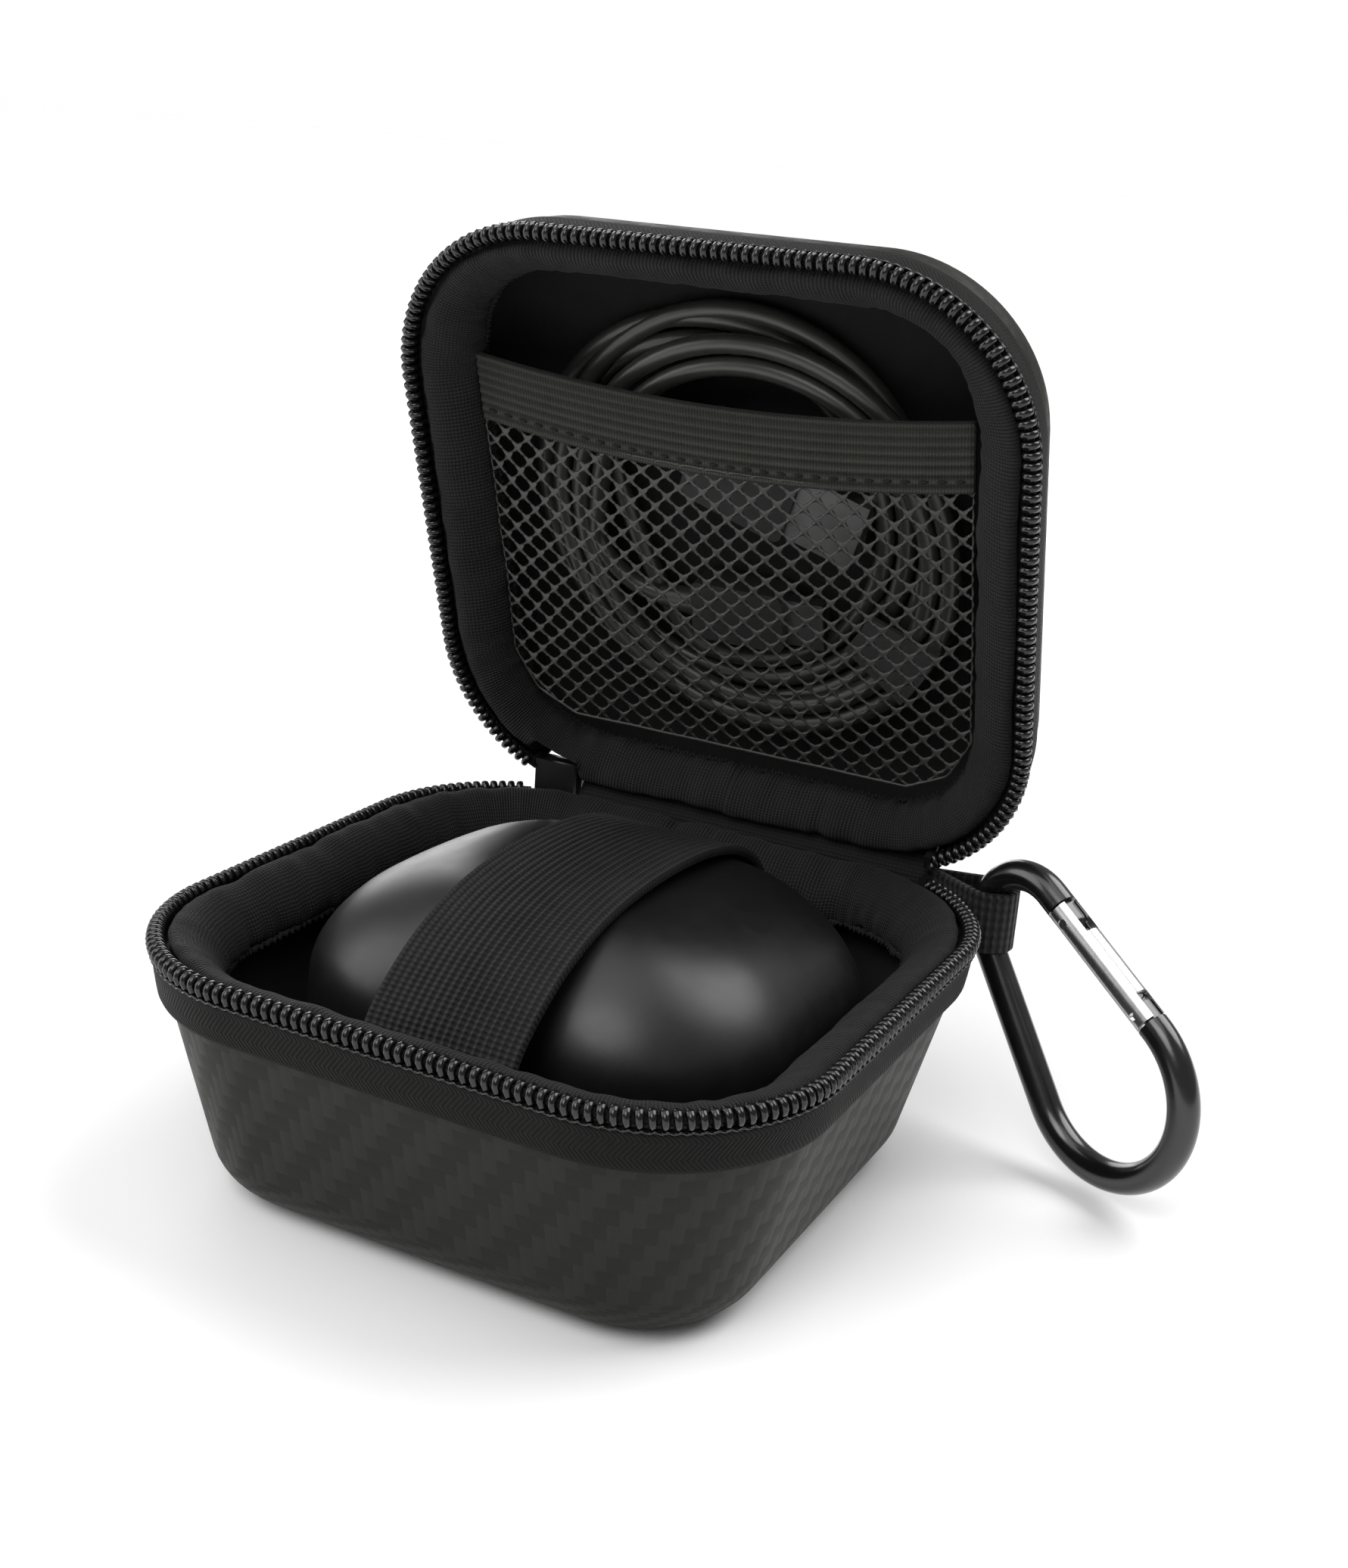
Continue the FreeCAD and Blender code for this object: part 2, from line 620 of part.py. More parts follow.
def net():
    """Plain sheet with two rounded corners by the hinge."""
    half, r = net_half, net_corner
    k = r * (1 - math.sqrt(0.5))
    z = net_w
    wire = Part.Wire([
        Part.LineSegment(lid_point(-half, net_high, z), lid_point(-half, net_low + r, z)).toShape(),
        Part.Arc(lid_point(-half, net_low + r, z), lid_point(-half + k, net_low + k, z),
                 lid_point(-half + r, net_low, z)).toShape(),
        Part.LineSegment(lid_point(-half + r, net_low, z), lid_point(half - r, net_low, z)).toShape(),
        Part.Arc(lid_point(half - r, net_low, z), lid_point(half - k, net_low + k, z),
                 lid_point(half, net_low + r, z)).toShape(),
        Part.LineSegment(lid_point(half, net_low + r, z), lid_point(half, net_high, z)).toShape(),
        Part.Arc(lid_point(half, net_high, z), lid_point(0, net_high - band_sag, z),
                 lid_point(-half, net_high, z)).toShape(),
    ])
    return Part.Face(wire).extrude(V(0, 0, net_t))


def band():
    """The elastic along the pocket's mouth, sagging in the middle."""
    half, z, low, high = net_half, net_w - 0.2, net_high + 0.1, net_high + band_h
    wire = Part.Wire([
        Part.Arc(lid_point(-half, low, z), lid_point(0, low - band_sag, z), lid_point(half, low, z)).toShape(),
        Part.LineSegment(lid_point(half, low, z), lid_point(half, high, z)).toShape(),
        Part.Arc(lid_point(half, high, z), lid_point(0, high - band_sag, z), lid_point(-half, high, z)).toShape(),
        Part.LineSegment(lid_point(-half, high, z), lid_point(-half, low, z)).toShape(),
    ])
    return Part.Face(wire).extrude(V(0, 0, band_t))


put("pocket_net", open_lid(net()))
put("pocket_band", open_lid(band()))

coil_at = lid_point(coil_x, coil_v, coil_w)


def tail(x, v, turn):
    """The cable's straight end, from a plug's strain relief to just inside the coil."""
    back = V(-math.cos(math.radians(turn)), -math.sin(math.radians(turn)), 0)
    start = lid_point(x, v, coil_w + coil_t / 2) + back * relief_l
    run = Part.makeCylinder(cable_d / 2, coil_r, start, back)
    return run.common(Part.makeCylinder(coil_in_r + 1, coil_t, coil_at))


coil = Part.makeCylinder(coil_r, coil_t, coil_at).cut(Part.makeCylinder(coil_in_r, coil_t, coil_at))
coil = coil.fuse([tail(plug_x, plug_v, plug_turn_deg), tail(small_x, small_v, small_turn_deg)])
put("cable_coil", open_lid(coil.removeSplitter()))


def sleeve(grow):
    """The coil's section grown by a thickness, over the part that the tie covers."""
    at = coil_at - V(0, 0, grow)
    high = coil_t + 2 * grow
    outer = Part.makeCylinder(coil_r + grow, high, at, V(0, 0, 1), tie_deg)
    outer = outer.cut(Part.makeCylinder(coil_in_r - grow, high, at))
    outer.rotate(at, V(0, 0, 1), tie_at_deg - tie_deg / 2)
    return outer


tie_gap = gap / 3
put("cable_tie", open_lid(sleeve(tie_gap + tie_t).cut(sleeve(tie_gap))))


def plug(x, v, turn, sizes):
    """Moulded body, metal shell at its front and a strain relief behind, lying flat in the pocket."""
    body_l, body_w, body_h, metal_l, metal_w, metal_h = sizes
    z = coil_t / 2
    body = block(0, body_l, -body_w / 2, body_w / 2, z - body_h / 2, z + body_h / 2)
    vertical = [e for e in body.Edges if abs(e.Vertexes[0].Z - e.Vertexes[-1].Z) > 1]
    body = body.makeFillet(min(1.6, body_w / 4), vertical)
    metal = block(body_l, body_l + metal_l, -metal_w / 2, metal_w / 2, z - metal_h / 2, z + metal_h / 2)
    inner = block(body_l + 0.6, body_l + metal_l + 1, -metal_w / 2 + 0.35, metal_w / 2 - 0.35,
                  z - metal_h / 2 + 0.35, z + metal_h / 2 - 0.35)
    relief = Part.makeCone(relief_d / 2 - 0.5, relief_d / 2 + 0.3, relief_l, V(-relief_l, 0, z), V(1, 0, 0))
    done = []
    for shape in (body, metal.cut(inner), relief):
        shape.rotate(V(0, 0, 0), V(0, 0, 1), turn)
        shape.translate(lid_point(x, v, coil_w))
        done.append(open_lid(shape))
    return done


big = (plug_l, plug_w, plug_h - 1.2, shell_l, shell_w, shell_h)
small = (small_plug_l, small_plug_w, small_plug_h - 0.6, small_shell_l, small_shell_w, small_shell_h)
for name, spot in (("usb_plug", (plug_x, plug_v, plug_turn_deg, big)),
                   ("device_plug", (small_x, small_v, small_turn_deg, small))):
    body, metal, relief = plug(*spot)
    put(name + "_body", body)
    put(name + "_shell", metal)
    put(name + "_relief", relief)

os.makedirs("parts", exist_ok=True)
for name, shape in shapes.items():
    shape.exportStep("parts/" + name + ".step")
    print(name, shape.isValid(), len(shape.Solids), round(shape.Volume, 1), shape.BoundBox)
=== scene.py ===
import math

import bmesh
import bpy
from mathutils import Matrix, Vector, noise


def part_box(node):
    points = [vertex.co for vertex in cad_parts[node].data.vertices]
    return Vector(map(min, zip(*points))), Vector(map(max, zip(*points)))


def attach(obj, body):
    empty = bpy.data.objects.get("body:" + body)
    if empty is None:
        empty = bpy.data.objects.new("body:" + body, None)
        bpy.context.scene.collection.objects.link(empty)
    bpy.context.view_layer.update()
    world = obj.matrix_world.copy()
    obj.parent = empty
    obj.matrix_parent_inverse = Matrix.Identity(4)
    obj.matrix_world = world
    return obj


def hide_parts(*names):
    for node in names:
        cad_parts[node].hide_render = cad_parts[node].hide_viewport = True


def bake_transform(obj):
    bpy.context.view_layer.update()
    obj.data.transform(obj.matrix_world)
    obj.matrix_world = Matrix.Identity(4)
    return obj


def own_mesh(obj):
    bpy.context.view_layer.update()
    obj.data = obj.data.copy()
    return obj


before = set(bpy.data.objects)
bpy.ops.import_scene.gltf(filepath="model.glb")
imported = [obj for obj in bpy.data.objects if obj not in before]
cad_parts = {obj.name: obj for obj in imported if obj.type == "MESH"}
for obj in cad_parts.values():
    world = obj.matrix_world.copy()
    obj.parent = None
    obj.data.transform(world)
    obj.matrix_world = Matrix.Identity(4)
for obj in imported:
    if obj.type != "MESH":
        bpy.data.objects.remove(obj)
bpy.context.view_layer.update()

mm = 0.001
noise.seed_set(4)

# ---- sizes the whole case shares ----
teethLow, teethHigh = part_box("base_teeth")
case = {
    "cornerR": 28.4 * mm,                     # the zip line's corner radius
    "halfWidth": teethHigh.x,
    "halfDepth": -teethLow.y,
    "baseHeight": teethHigh.z + 0.15 * mm,    # floor to the plane where the halves meet
    "lidHeight": 23 * mm,
    "hinge": Vector((0, 49.15 * mm, 42.05 * mm)),
    "lidOpen": math.radians(72.75),
    "hingeHalf": 38.6 * mm,
    "reliefDrop": 9.5 * mm,                   # shells stop this far from the meeting plane at the hinge
}
cornerX = case["halfWidth"] - case["cornerR"]
cornerY = case["halfDepth"] - case["cornerR"]
rimShape = (cornerX, cornerY, case["cornerR"])
meetZ = case["baseHeight"]
toHinge = Matrix.Translation(case["hinge"])
lidTurn = toHinge @ Matrix.Rotation(-case["lidOpen"], 4, "X") @ toHinge.inverted()


# ---- making meshes ----
def roundLength(shape):
    x, y, r = shape
    return 4 * (x + y) + 2 * math.pi * r


def roundAt(u, shape):
    # the foot point and the outward direction, u along a rounded rectangle from the middle of its back
    hx, hy, r = shape
    arc = math.pi / 2 * r
    turn, x, y = math.pi / 2, 0.0, hy
    u %= roundLength(shape)
    sides = ((hx, 0), (arc, 1), (2 * hy, 0), (arc, 1), (2 * hx, 0), (arc, 1), (2 * hy, 0), (arc, 1), (hx, 0))
    for length, bends in sides:
        step = min(u, length)
        if bends:
            turn -= step / r
        else:
            x += math.sin(turn) * step
            y -= math.cos(turn) * step
        u -= step
        if u <= 0:
            break
    return Vector((x, y, 0)), Vector((math.cos(turn), math.sin(turn), 0))


def smoothStep(value, low, high):
    t = min(1, max(0, (value - low) / (high - low)))
    return t * t * (3 - 2 * t)


def arcPoints(cx, cz, r, fromDeg, toDeg, steps):
    turns = [math.radians(fromDeg + (toDeg - fromDeg) * i / steps) for i in range(steps + 1)]
    return [(cx + r * math.cos(t), cz + r * math.sin(t)) for t in turns]


def smoothPath(points, count):
    # an even, smooth run through a few points
    pts = [Vector(p) for p in points]
    pts = [pts[0] * 2 - pts[1]] + pts + [pts[-1] * 2 - pts[-2]]
    fine = []
    for a, b, c, d in zip(pts, pts[1:], pts[2:], pts[3:]):
        for i in range(12):
            t = i / 12
            bend = (2 * a - 5 * b + 4 * c - d) * t * t
            fine.append(0.5 * (2 * b + (c - a) * t + bend + (3 * b - a - 3 * c + d) * t ** 3))
    fine.append(pts[-2])
    spans = [(q - p).length for p, q in zip(fine, fine[1:])]
    total, out, k, run = sum(spans), [], 0, 0.0
    for i in range(count + 1):
        want = total * i / count
        while k < len(spans) - 1 and run + spans[k] < want:
            run += spans[k]
            k += 1
        out.append(fine[k].lerp(fine[k + 1], min(1, max(0, (want - run) / max(spans[k], 1e-9)))))
    return out, total


def makeObject(name, bm, body, material, replaced=(), matrix=None, recalc=True):
    if matrix is not None:
        bmesh.ops.transform(bm, matrix=matrix, verts=bm.verts)
    if recalc:
        bmesh.ops.recalc_face_normals(bm, faces=bm.faces)
    mesh = bpy.data.meshes.new(name)
    bm.to_mesh(mesh)
    bm.free()
    for p in mesh.polygons:
        p.use_smooth = True
    mesh.materials.append(material)
    obj = bpy.data.objects.new(name, mesh)
    bpy.context.scene.collection.objects.link(obj)
    if body:
        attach(obj, body)
    if replaced:
        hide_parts(*replaced)
    return obj


def bentGrid(columns, rows, place, uvSize):
    # a grid whose columns and rows are put in place by a function; its UV map is in metres
    bm = bmesh.new()
    uv = bm.loops.layers.uv.new("run")
    bmesh.ops.create_grid(bm, x_segments=columns, y_segments=rows, size=0.5, calc_uvs=True)
    for face in bm.faces:
        for loop in face.loops:
            co = loop.vert.co
            loop[uv].uv = ((co.x + 0.5) * uvSize[0], (co.y + 0.5) * uvSize[1])
    for v in bm.verts:
        v.co = place(round((v.co.x + 0.5) * columns), round((v.co.y + 0.5) * rows))
    bmesh.ops.remove_doubles(bm, verts=bm.verts, dist=1e-7)
    bmesh.ops.holes_fill(bm, edges=[e for e in bm.edges if e.is_boundary], sides=0)
    return bm


def rimStrip(profile, columns=300, span=None, shape=rimShape, lid=False, change=None):
    # a closed profile of (distance from the corner's centre, height) swept round the rim
    start, end = span or (0.0, roundLength(shape))
    ring = profile + [profile[0]]
    lengths = [0.0]
    for a, b in zip(ring, ring[1:]):
        lengths.append(lengths[-1] + math.hypot(b[0] - a[0], b[1] - a[1]))

    def place(i, j):
        u = start + (end - start) * i / columns
        if span is None:
            u %= roundLength(shape)
        foot, out = roundAt(u, shape)
        r, z = ring[j]
        if change:
            r, z = change(u, foot + out * r, r, z, j % len(profile))
        if lid:
            z = 2 * meetZ - z
        return foot + out * r + Vector((0, 0, z))

    bm = bentGrid(columns, len(profile), place, (end - start, lengths[-1]))
    hx, hy, _ = shape
    inner = {v for v in bm.verts if abs(v.co.x) < hx + 1e-6 and abs(v.co.y) < hy + 1e-6}
    middle = [f for f in bm.faces if all(v in inner for v in f.verts)]
    if middle and min(r for r, z in profile) == 0:      # open the well in the middle, then cap it
        bmesh.ops.delete(bm, geom=middle, context="FACES_ONLY")
        bmesh.ops.holes_fill(bm, edges=[e for e in bm.edges if e.is_boundary], sides=0)
    uv = bm.loops.layers.uv.active
    for face in bm.faces:                     # flat tops and bottoms take a plan view map
        face.normal_update()
        if abs(face.normal.z) > 0.97 and face.calc_area() > 2e-6:
            for loop in face.loops:
                loop[uv].uv = loop.vert.co.xy
    return bm


def ribbon(path, total, width, thick, across, lift, columns=None, swell=None):
    # a flat band along a path: across is the direction of its width, lift the way its face looks
    n = len(path) - 1
    wide = columns or 12
    rows = [(-0.5 + k / wide, 0) for k in range(wide + 1)] + [(0.5 - k / wide, -1) for k in range(wide + 1)]

    def place(i, j):
        side, down = rows[j % len(rows)]
        p = path[i]
        ahead = (path[min(i + 1, n)] - path[max(i - 1, 0)]).normalized()
        a = Vector(across)
        up = a.cross(ahead).normalized() * lift
        rise = swell(i / n, side) if swell and down == 0 else 0
        return p + a * side * width + up * (down * thick + rise)

    return bentGrid(n, len(rows), place, (total, 2 * (width + thick)))


def refined(node, body, material, sharpDeg=32):
    # a carried-over solid with merged corners and smooth shading between its sharp edges
    bm = bmesh.new()
    bm.from_mesh(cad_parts[node].data)
    bmesh.ops.remove_doubles(bm, verts=bm.verts, dist=2e-6)
    for e in bm.edges:
        e.smooth = e.is_manifold and e.calc_face_angle(0) < math.radians(sharpDeg)
    return makeObject(node + "_piece", bm, body, material, (node,), recalc=False)


def subdivided(obj, levels=1):
    m = obj.modifiers.new("smooth", "SUBSURF")
    m.levels = m.render_levels = levels
    return obj


# ---- materials ----
def node(tree, kind, inputs=None, **settings):
    n = tree.nodes.new(kind)
    for key, value in settings.items():
        setattr(n, key, value)
    for key, value in (inputs or {}).items():
        if isinstance(value, bpy.types.NodeSocket):
            tree.links.new(value, n.inputs[key])
        else:
            n.inputs[key].default_value = value
    return n


def calc(tree, operation, a, b=0.0, c=0.0):
    return node(tree, "ShaderNodeMath", {0: a, 1: b, 2: c}, operation=operation).outputs[0]


def newGroup(name, inputs, outputs):
    g = bpy.data.node_groups.new(name, "ShaderNodeTree")
    for label, value in inputs.items():
        kind = "NodeSocketVector" if value is None else "NodeSocketFloat"
        s = g.interface.new_socket(label, in_out="INPUT", socket_type=kind)
        if value is not None:
            s.default_value = value
    for label in outputs:
        g.interface.new_socket(label, in_out="OUTPUT", socket_type="NodeSocketFloat")
    return g, g.nodes.new("NodeGroupInput").outputs, g.nodes.new("NodeGroupOutput")


def wave(g, along, pitch):
    turns = calc(g, "DIVIDE", along, pitch)
    return calc(g, "MULTIPLY_ADD", calc(g, "SINE", calc(g, "MULTIPLY", turns, 2 * math.pi)), 0.5, 0.5)


def makeRibs():
    # ribs across the run, with the small beads of the yarn along each rib
    g, i, o = newGroup("yarnRibs", {"Run": 0.0, "Across": 0.0, "Pitch": 1.0, "Bead": 1.0}, ["Height"])
    rib = wave(g, i["Run"], i["Pitch"])
    bead = wave(g, i["Across"], i["Bead"])
    g.links.new(calc(g, "MULTIPLY_ADD", bead, 0.35, calc(g, "MULTIPLY", rib, 0.65)), o.inputs["Height"])
    return g


def makeTwill():
    # two over, two under
    g, i, o = newGroup("twill", {"Run": 0.0, "Across": 0.0, "Tow": 1.0}, ["Height", "Warp"])
    u = calc(g, "DIVIDE", i["Run"], i["Tow"])
    v = calc(g, "DIVIDE", i["Across"], i["Tow"])
    steps = calc(g, "SUBTRACT", calc(g, "FLOOR", u), calc(g, "FLOOR", v))
    warp = calc(g, "LESS_THAN", calc(g, "FLOORED_MODULO", steps, 4.0), 2.0)
    humpU = calc(g, "SINE", calc(g, "MULTIPLY", calc(g, "FRACT", u), math.pi))
    humpV = calc(g, "SINE", calc(g, "MULTIPLY", calc(g, "FRACT", v), math.pi))
    mixed = node(g, "ShaderNodeMix", {"Factor": warp, "A": humpV, "B": humpU}).outputs[0]
    g.links.new(mixed, o.inputs["Height"])
    g.links.new(warp, o.inputs["Warp"])
    return g


def makeHerringbone():
    g, i, o = newGroup("herringbone", {"Run": 0.0, "Across": 0.0, "Pitch": 1.0, "Band": 1.0}, ["Height"])
    zig = calc(g, "PINGPONG", i["Across"], i["Band"])
    g.links.new(wave(g, calc(g, "ADD", i["Run"], zig), i["Pitch"]), o.inputs["Height"])
    return g


def makeGrain():
    g, i, o = newGroup("grain", {"Vector": None, "Scale": 100.0, "Detail": 3.0}, ["Value"])
    n = node(g, "ShaderNodeTexNoise", {"Vector": i["Vector"], "Scale": i["Scale"], "Detail": i["Detail"]})
    g.links.new(n.outputs[0], o.inputs["Value"])
    return g


ribGroup, twillGroup, herringGroup, grainGroup = makeRibs(), makeTwill(), makeHerringbone(), makeGrain()


def newMaterial(name, **settings):
    mat = bpy.data.materials.new(name)
    mat.use_nodes = True
    tree = mat.node_tree
    shader = tree.nodes["Principled BSDF"]
    for key, value in settings.items():
        shader.inputs[key.replace("_", " ")].default_value = value
    coords = node(tree, "ShaderNodeTexCoord")
    split = node(tree, "ShaderNodeSeparateXYZ", {0: coords.outputs["UV"]})
    return mat, tree, shader, coords.outputs["Object"], split.outputs[0], split.outputs[1]


def grain(tree, vector, scale, detail=3.0):
    g = node(tree, "ShaderNodeGroup", node_tree=grainGroup)
    tree.links.new(vector, g.inputs["Vector"])
    g.inputs["Scale"].default_value = scale
    g.inputs["Detail"].default_value = detail
    return g.outputs[0]


def pattern(tree, nodeGroup, **values):
    g = node(tree, "ShaderNodeGroup", node_tree=nodeGroup)
    for key, value in values.items():
        if isinstance(value, bpy.types.NodeSocket):
            tree.links.new(value, g.inputs[key])
        else:
            g.inputs[key].default_value = value
    return g.outputs


def tint(tree, shader, factor, dark, light):
    # base colour between two shades
    ramp = node(tree, "ShaderNodeValToRGB", {0: factor})
    ramp.color_ramp.elements[0].color = (*dark, 1)
    ramp.color_ramp.elements[1].color = (*light, 1)
    tree.links.new(ramp.outputs[0], shader.inputs["Base Color"])
    return ramp


def bump(tree, shader, height, distance, strength=1.0):
    b = node(tree, "ShaderNodeBump", {"Height": height, "Distance": distance, "Strength": strength})
    tree.links.new(b.outputs[0], shader.inputs["Normal"])


def roughness(tree, shader, value, low, high):
    r = node(tree, "ShaderNodeMapRange", {"Value": value, "To Min": low, "To Max": high})
    tree.links.new(r.outputs[0], shader.inputs["Roughness"])


def grey(v, warm=0.0):
    return (v * (1 + warm), v * (1 + warm * 0.9), v * (1 - warm))


def shellSkin():
    mat, tree, shader, obj, u, v = newMaterial("shellSkin", Specular_IOR_Level=0.18)
    weave = pattern(tree, twillGroup, Run=u, Across=v, Tow=2.15 * mm)
    fine = grain(tree, obj, 1400.0)
    broad = grain(tree, obj, 60.0)
    # the warp tows are painted lighter than the weft: a painted sheen for how the two tow directions catch the
    # light, plus random tone from the broad grain
    shade = calc(tree, "ADD", calc(tree, "MULTIPLY", weave["Warp"], 0.40), calc(tree, "MULTIPLY", broad, 0.5))
    tint(tree, shader, shade, grey(0.0060, 0.1), grey(0.0135, 0.14))
    threads = wave(tree, calc(tree, "ADD", u, v), 0.28 * mm)
    height = calc(tree, "ADD", calc(tree, "MULTIPLY", weave["Height"], 0.45), calc(tree, "MULTIPLY", fine, 0.25))
    bump(tree, shader, calc(tree, "MULTIPLY_ADD", threads, 0.12, height), 0.07 * mm, 0.9)
    roughness(tree, shader, weave["Warp"], 0.52, 0.45)
    return mat


def velvet():
    mat, tree, shader, obj, u, v = newMaterial("liningNap", Specular_IOR_Level=0.2, Sheen_Weight=0.12,
                                               Sheen_Roughness=0.4)
    soft = grain(tree, obj, 220.0, 5.0)
    tint(tree, shader, soft, grey(0.004), grey(0.011))
    bump(tree, shader, grain(tree, obj, 2600.0, 2.0), 0.15 * mm, 0.6)
    roughness(tree, shader, soft, 0.85, 0.98)
    return mat


def zipWire():
    mat, tree, shader, obj, u, v = newMaterial("zipWire", Specular_IOR_Level=0.4, Coat_Weight=0.15,
                                               Coat_Roughness=0.08)
    wear = grain(tree, obj, 500.0)
    tint(tree, shader, wear, grey(0.003), grey(0.007))
    roughness(tree, shader, wear, 0.12, 0.20)
    return mat


def tapeCloth():
    mat, tree, shader, obj, u, v = newMaterial("zipTape", Specular_IOR_Level=0.12, Sheen_Weight=0.01)
    bones = pattern(tree, herringGroup, Run=u, Across=v, Pitch=0.75 * mm, Band=1.9 * mm)
    # the herringbone ridges are painted lighter: a painted highlight on the raised yarn, over random tone from the
    # grain
    shade = calc(tree, "MULTIPLY_ADD", grain(tree, obj, 900.0), 0.5, calc(tree, "MULTIPLY", bones[0], 0.4))
    tint(tree, shader, shade, grey(0.0008), grey(0.0095, 0.06))
    bump(tree, shader, calc(tree, "MULTIPLY_ADD", grain(tree, obj, 2500.0), 0.3, bones[0]), 0.12 * mm, 0.9)
    roughness(tree, shader, bones[0], 0.72, 0.6)
    return mat


def ribbedCloth(name, pitch, bead, dark, light, rough, depth, swap=False, sheen=0.03):
    mat, tree, shader, obj, u, v = newMaterial(name, Specular_IOR_Level=0.14, Sheen_Weight=sheen,
                                               Sheen_Roughness=0.45)
    run, across = (v, u) if swap else (u, v)
    ribs = pattern(tree, ribGroup, Run=run, Across=across, Pitch=pitch, Bead=bead)
    cloud = grain(tree, obj, 180.0, 4.0)
    fibre = grain(tree, obj, 3200.0, 2.0)
    # the rib crests are painted lighter than the troughs: a painted highlight on the raised yarn, over random tone
    # from the cloud
    crestHighlight = calc(tree, "POWER", ribs[0], 2.0)
    shade = calc(tree, "MULTIPLY_ADD", cloud, 0.35, calc(tree, "MULTIPLY", crestHighlight, 0.75))
    tint(tree, shader, shade, dark, light)
    bump(tree, shader, calc(tree, "MULTIPLY_ADD", fibre, 0.35, ribs[0]), depth, 0.9)
    roughness(tree, shader, cloud, rough - 0.08, rough + 0.08)
    return mat


def plainSkin(name, dark, light, rough, scale=300.0, fineScale=2500.0, depth=0.02 * mm, **more):
    mat, tree, shader, obj, u, v = newMaterial(name, **more)
    cloud = grain(tree, obj, scale)
    tint(tree, shader, cloud, dark, light)
    roughness(tree, shader, cloud, rough - 0.05, rough + 0.05)
    bump(tree, shader, grain(tree, obj, fineScale, 2.0), depth, 0.5)
    return mat


def brightMetal(name, shade, rough, streak):
    # drawn metal, with fine lines along its run
    mat, tree, shader, obj, u, v = newMaterial(name, Metallic=1.0)
    turned = node(tree, "ShaderNodeMapping", {"Vector": obj, "Scale": streak})
    lines = grain(tree, turned.outputs[0], 900.0)
    tint(tree, shader, lines, grey(shade * 0.94), grey(shade))
    roughness(tree, shader, lines, rough - 0.03, rough + 0.03)
    return mat


print("materials")
skins = {
    "shell": shellSkin(),
    "lining": velvet(),
    "wire": zipWire(),
    "tape": tapeCloth(),
    # the lighter colour of each ribbed cloth is reached on its rib crests: a painted highlight, mixed with random
    # tone
    "binding": ribbedCloth("bindingCloth", 0.62 * mm, 0.5 * mm, grey(0.0010), grey(0.026), 0.72, 0.24 * mm),
    "hinge": ribbedCloth("hingeCloth", 0.7 * mm, 0.7 * mm, grey(0.002), grey(0.010), 0.75, 0.10 * mm),
    "strap": ribbedCloth("strapKnit", 1.26 * mm, 0.85 * mm, grey(0.0015), grey(0.034), 0.78, 0.42 * mm, swap=True),
    "band": ribbedCloth("bandElastic", 1.55 * mm, 0.5 * mm, grey(0.008, 0.06), grey(0.040, 0.08), 0.72, 0.30 * mm,
                        swap=True),
    "webbing": ribbedCloth("loopWebbing", 1.25 * mm, 1.6 * mm, grey(0.0008), grey(0.030), 0.6, 0.55 * mm),
    "thread": ribbedCloth("sewingThread", 0.4 * mm, 0.4 * mm, grey(0.004), grey(0.018), 0.6, 0.05 * mm),
    "net": plainSkin("netThread", grey(0.012, 0.03), grey(0.040, 0.05), 0.45, Specular_IOR_Level=0.5),
    "cable": plainSkin("cableSheath", grey(0.020, 0.04), grey(0.028, 0.04), 0.34, Specular_IOR_Level=0.55),
    "device": plainSkin("deviceSkin", grey(0.0045), grey(0.0065), 0.38, depth=0.012 * mm, Specular_IOR_Level=0.5),
    "plug": plainSkin("plugMoulding", grey(0.014), grey(0.024), 0.45, Specular_IOR_Level=0.5),
    "tie": ribbedCloth("tieCloth", 0.9 * mm, 0.9 * mm, grey(0.02), grey(0.06), 0.8, 0.3 * mm),
    "rod": plainSkin("rodAnodised", grey(0.003), grey(0.006), 0.22, Specular_IOR_Level=0.6, Coat_Weight=0.25,
                     Coat_Roughness=0.12),
    "gate": brightMetal("gateMetal", 0.78, 0.24, (1, 1, 0.12)),
    "enamel": plainSkin("zipEnamel", grey(0.004), grey(0.010), 0.3, Specular_IOR_Level=0.6),
    "steel": plainSkin("plugSteel", grey(0.42), grey(0.5), 0.3, depth=0.004 * mm, Metallic=1.0),
}

# ---- camera and light ----
print("camera and light")
view = {
    "azimuth": 26.29, "elevation": 18.71, "roll": 4.27, "lens": 45.63,
    "place": Vector((134.31, -243.15, 156.55)) * mm,
}
az, el, roll = (math.radians(view[k]) for k in ("azimuth", "elevation", "roll"))
back = Vector((math.sin(az) * math.cos(el), -math.cos(az) * math.cos(el), math.sin(el)))
right = (-back).cross(Vector((0, 0, 1))).normalized()
up = right.cross(-back)
right, up = right * math.cos(roll) + up * math.sin(roll), up * math.cos(roll) - right * math.sin(roll)
lens = bpy.data.cameras.new("camera")
lens.sensor_fit = "VERTICAL"
lens.sensor_height = 36
lens.lens = view["lens"]
lens.clip_start = 0.01
camera = bpy.data.objects.new("camera", lens)
camera.matrix_world = Matrix.Translation(view["place"]) @ Matrix((right, up, back)).transposed().to_4x4()
bpy.context.scene.collection.objects.link(camera)
bpy.context.scene.camera = camera


def softLight(name, at, toward, size, power):
    data = bpy.data.lights.new(name, "AREA")
    data.shape = "DISK"
    data.size = size
    data.energy = power
    lamp = bpy.data.objects.new(name, data)
    lamp.location = at
    lamp.rotation_euler = (Vector(toward) - Vector(at)).to_track_quat("-Z", "Y").to_euler()
    bpy.context.scene.collection.objects.link(lamp)


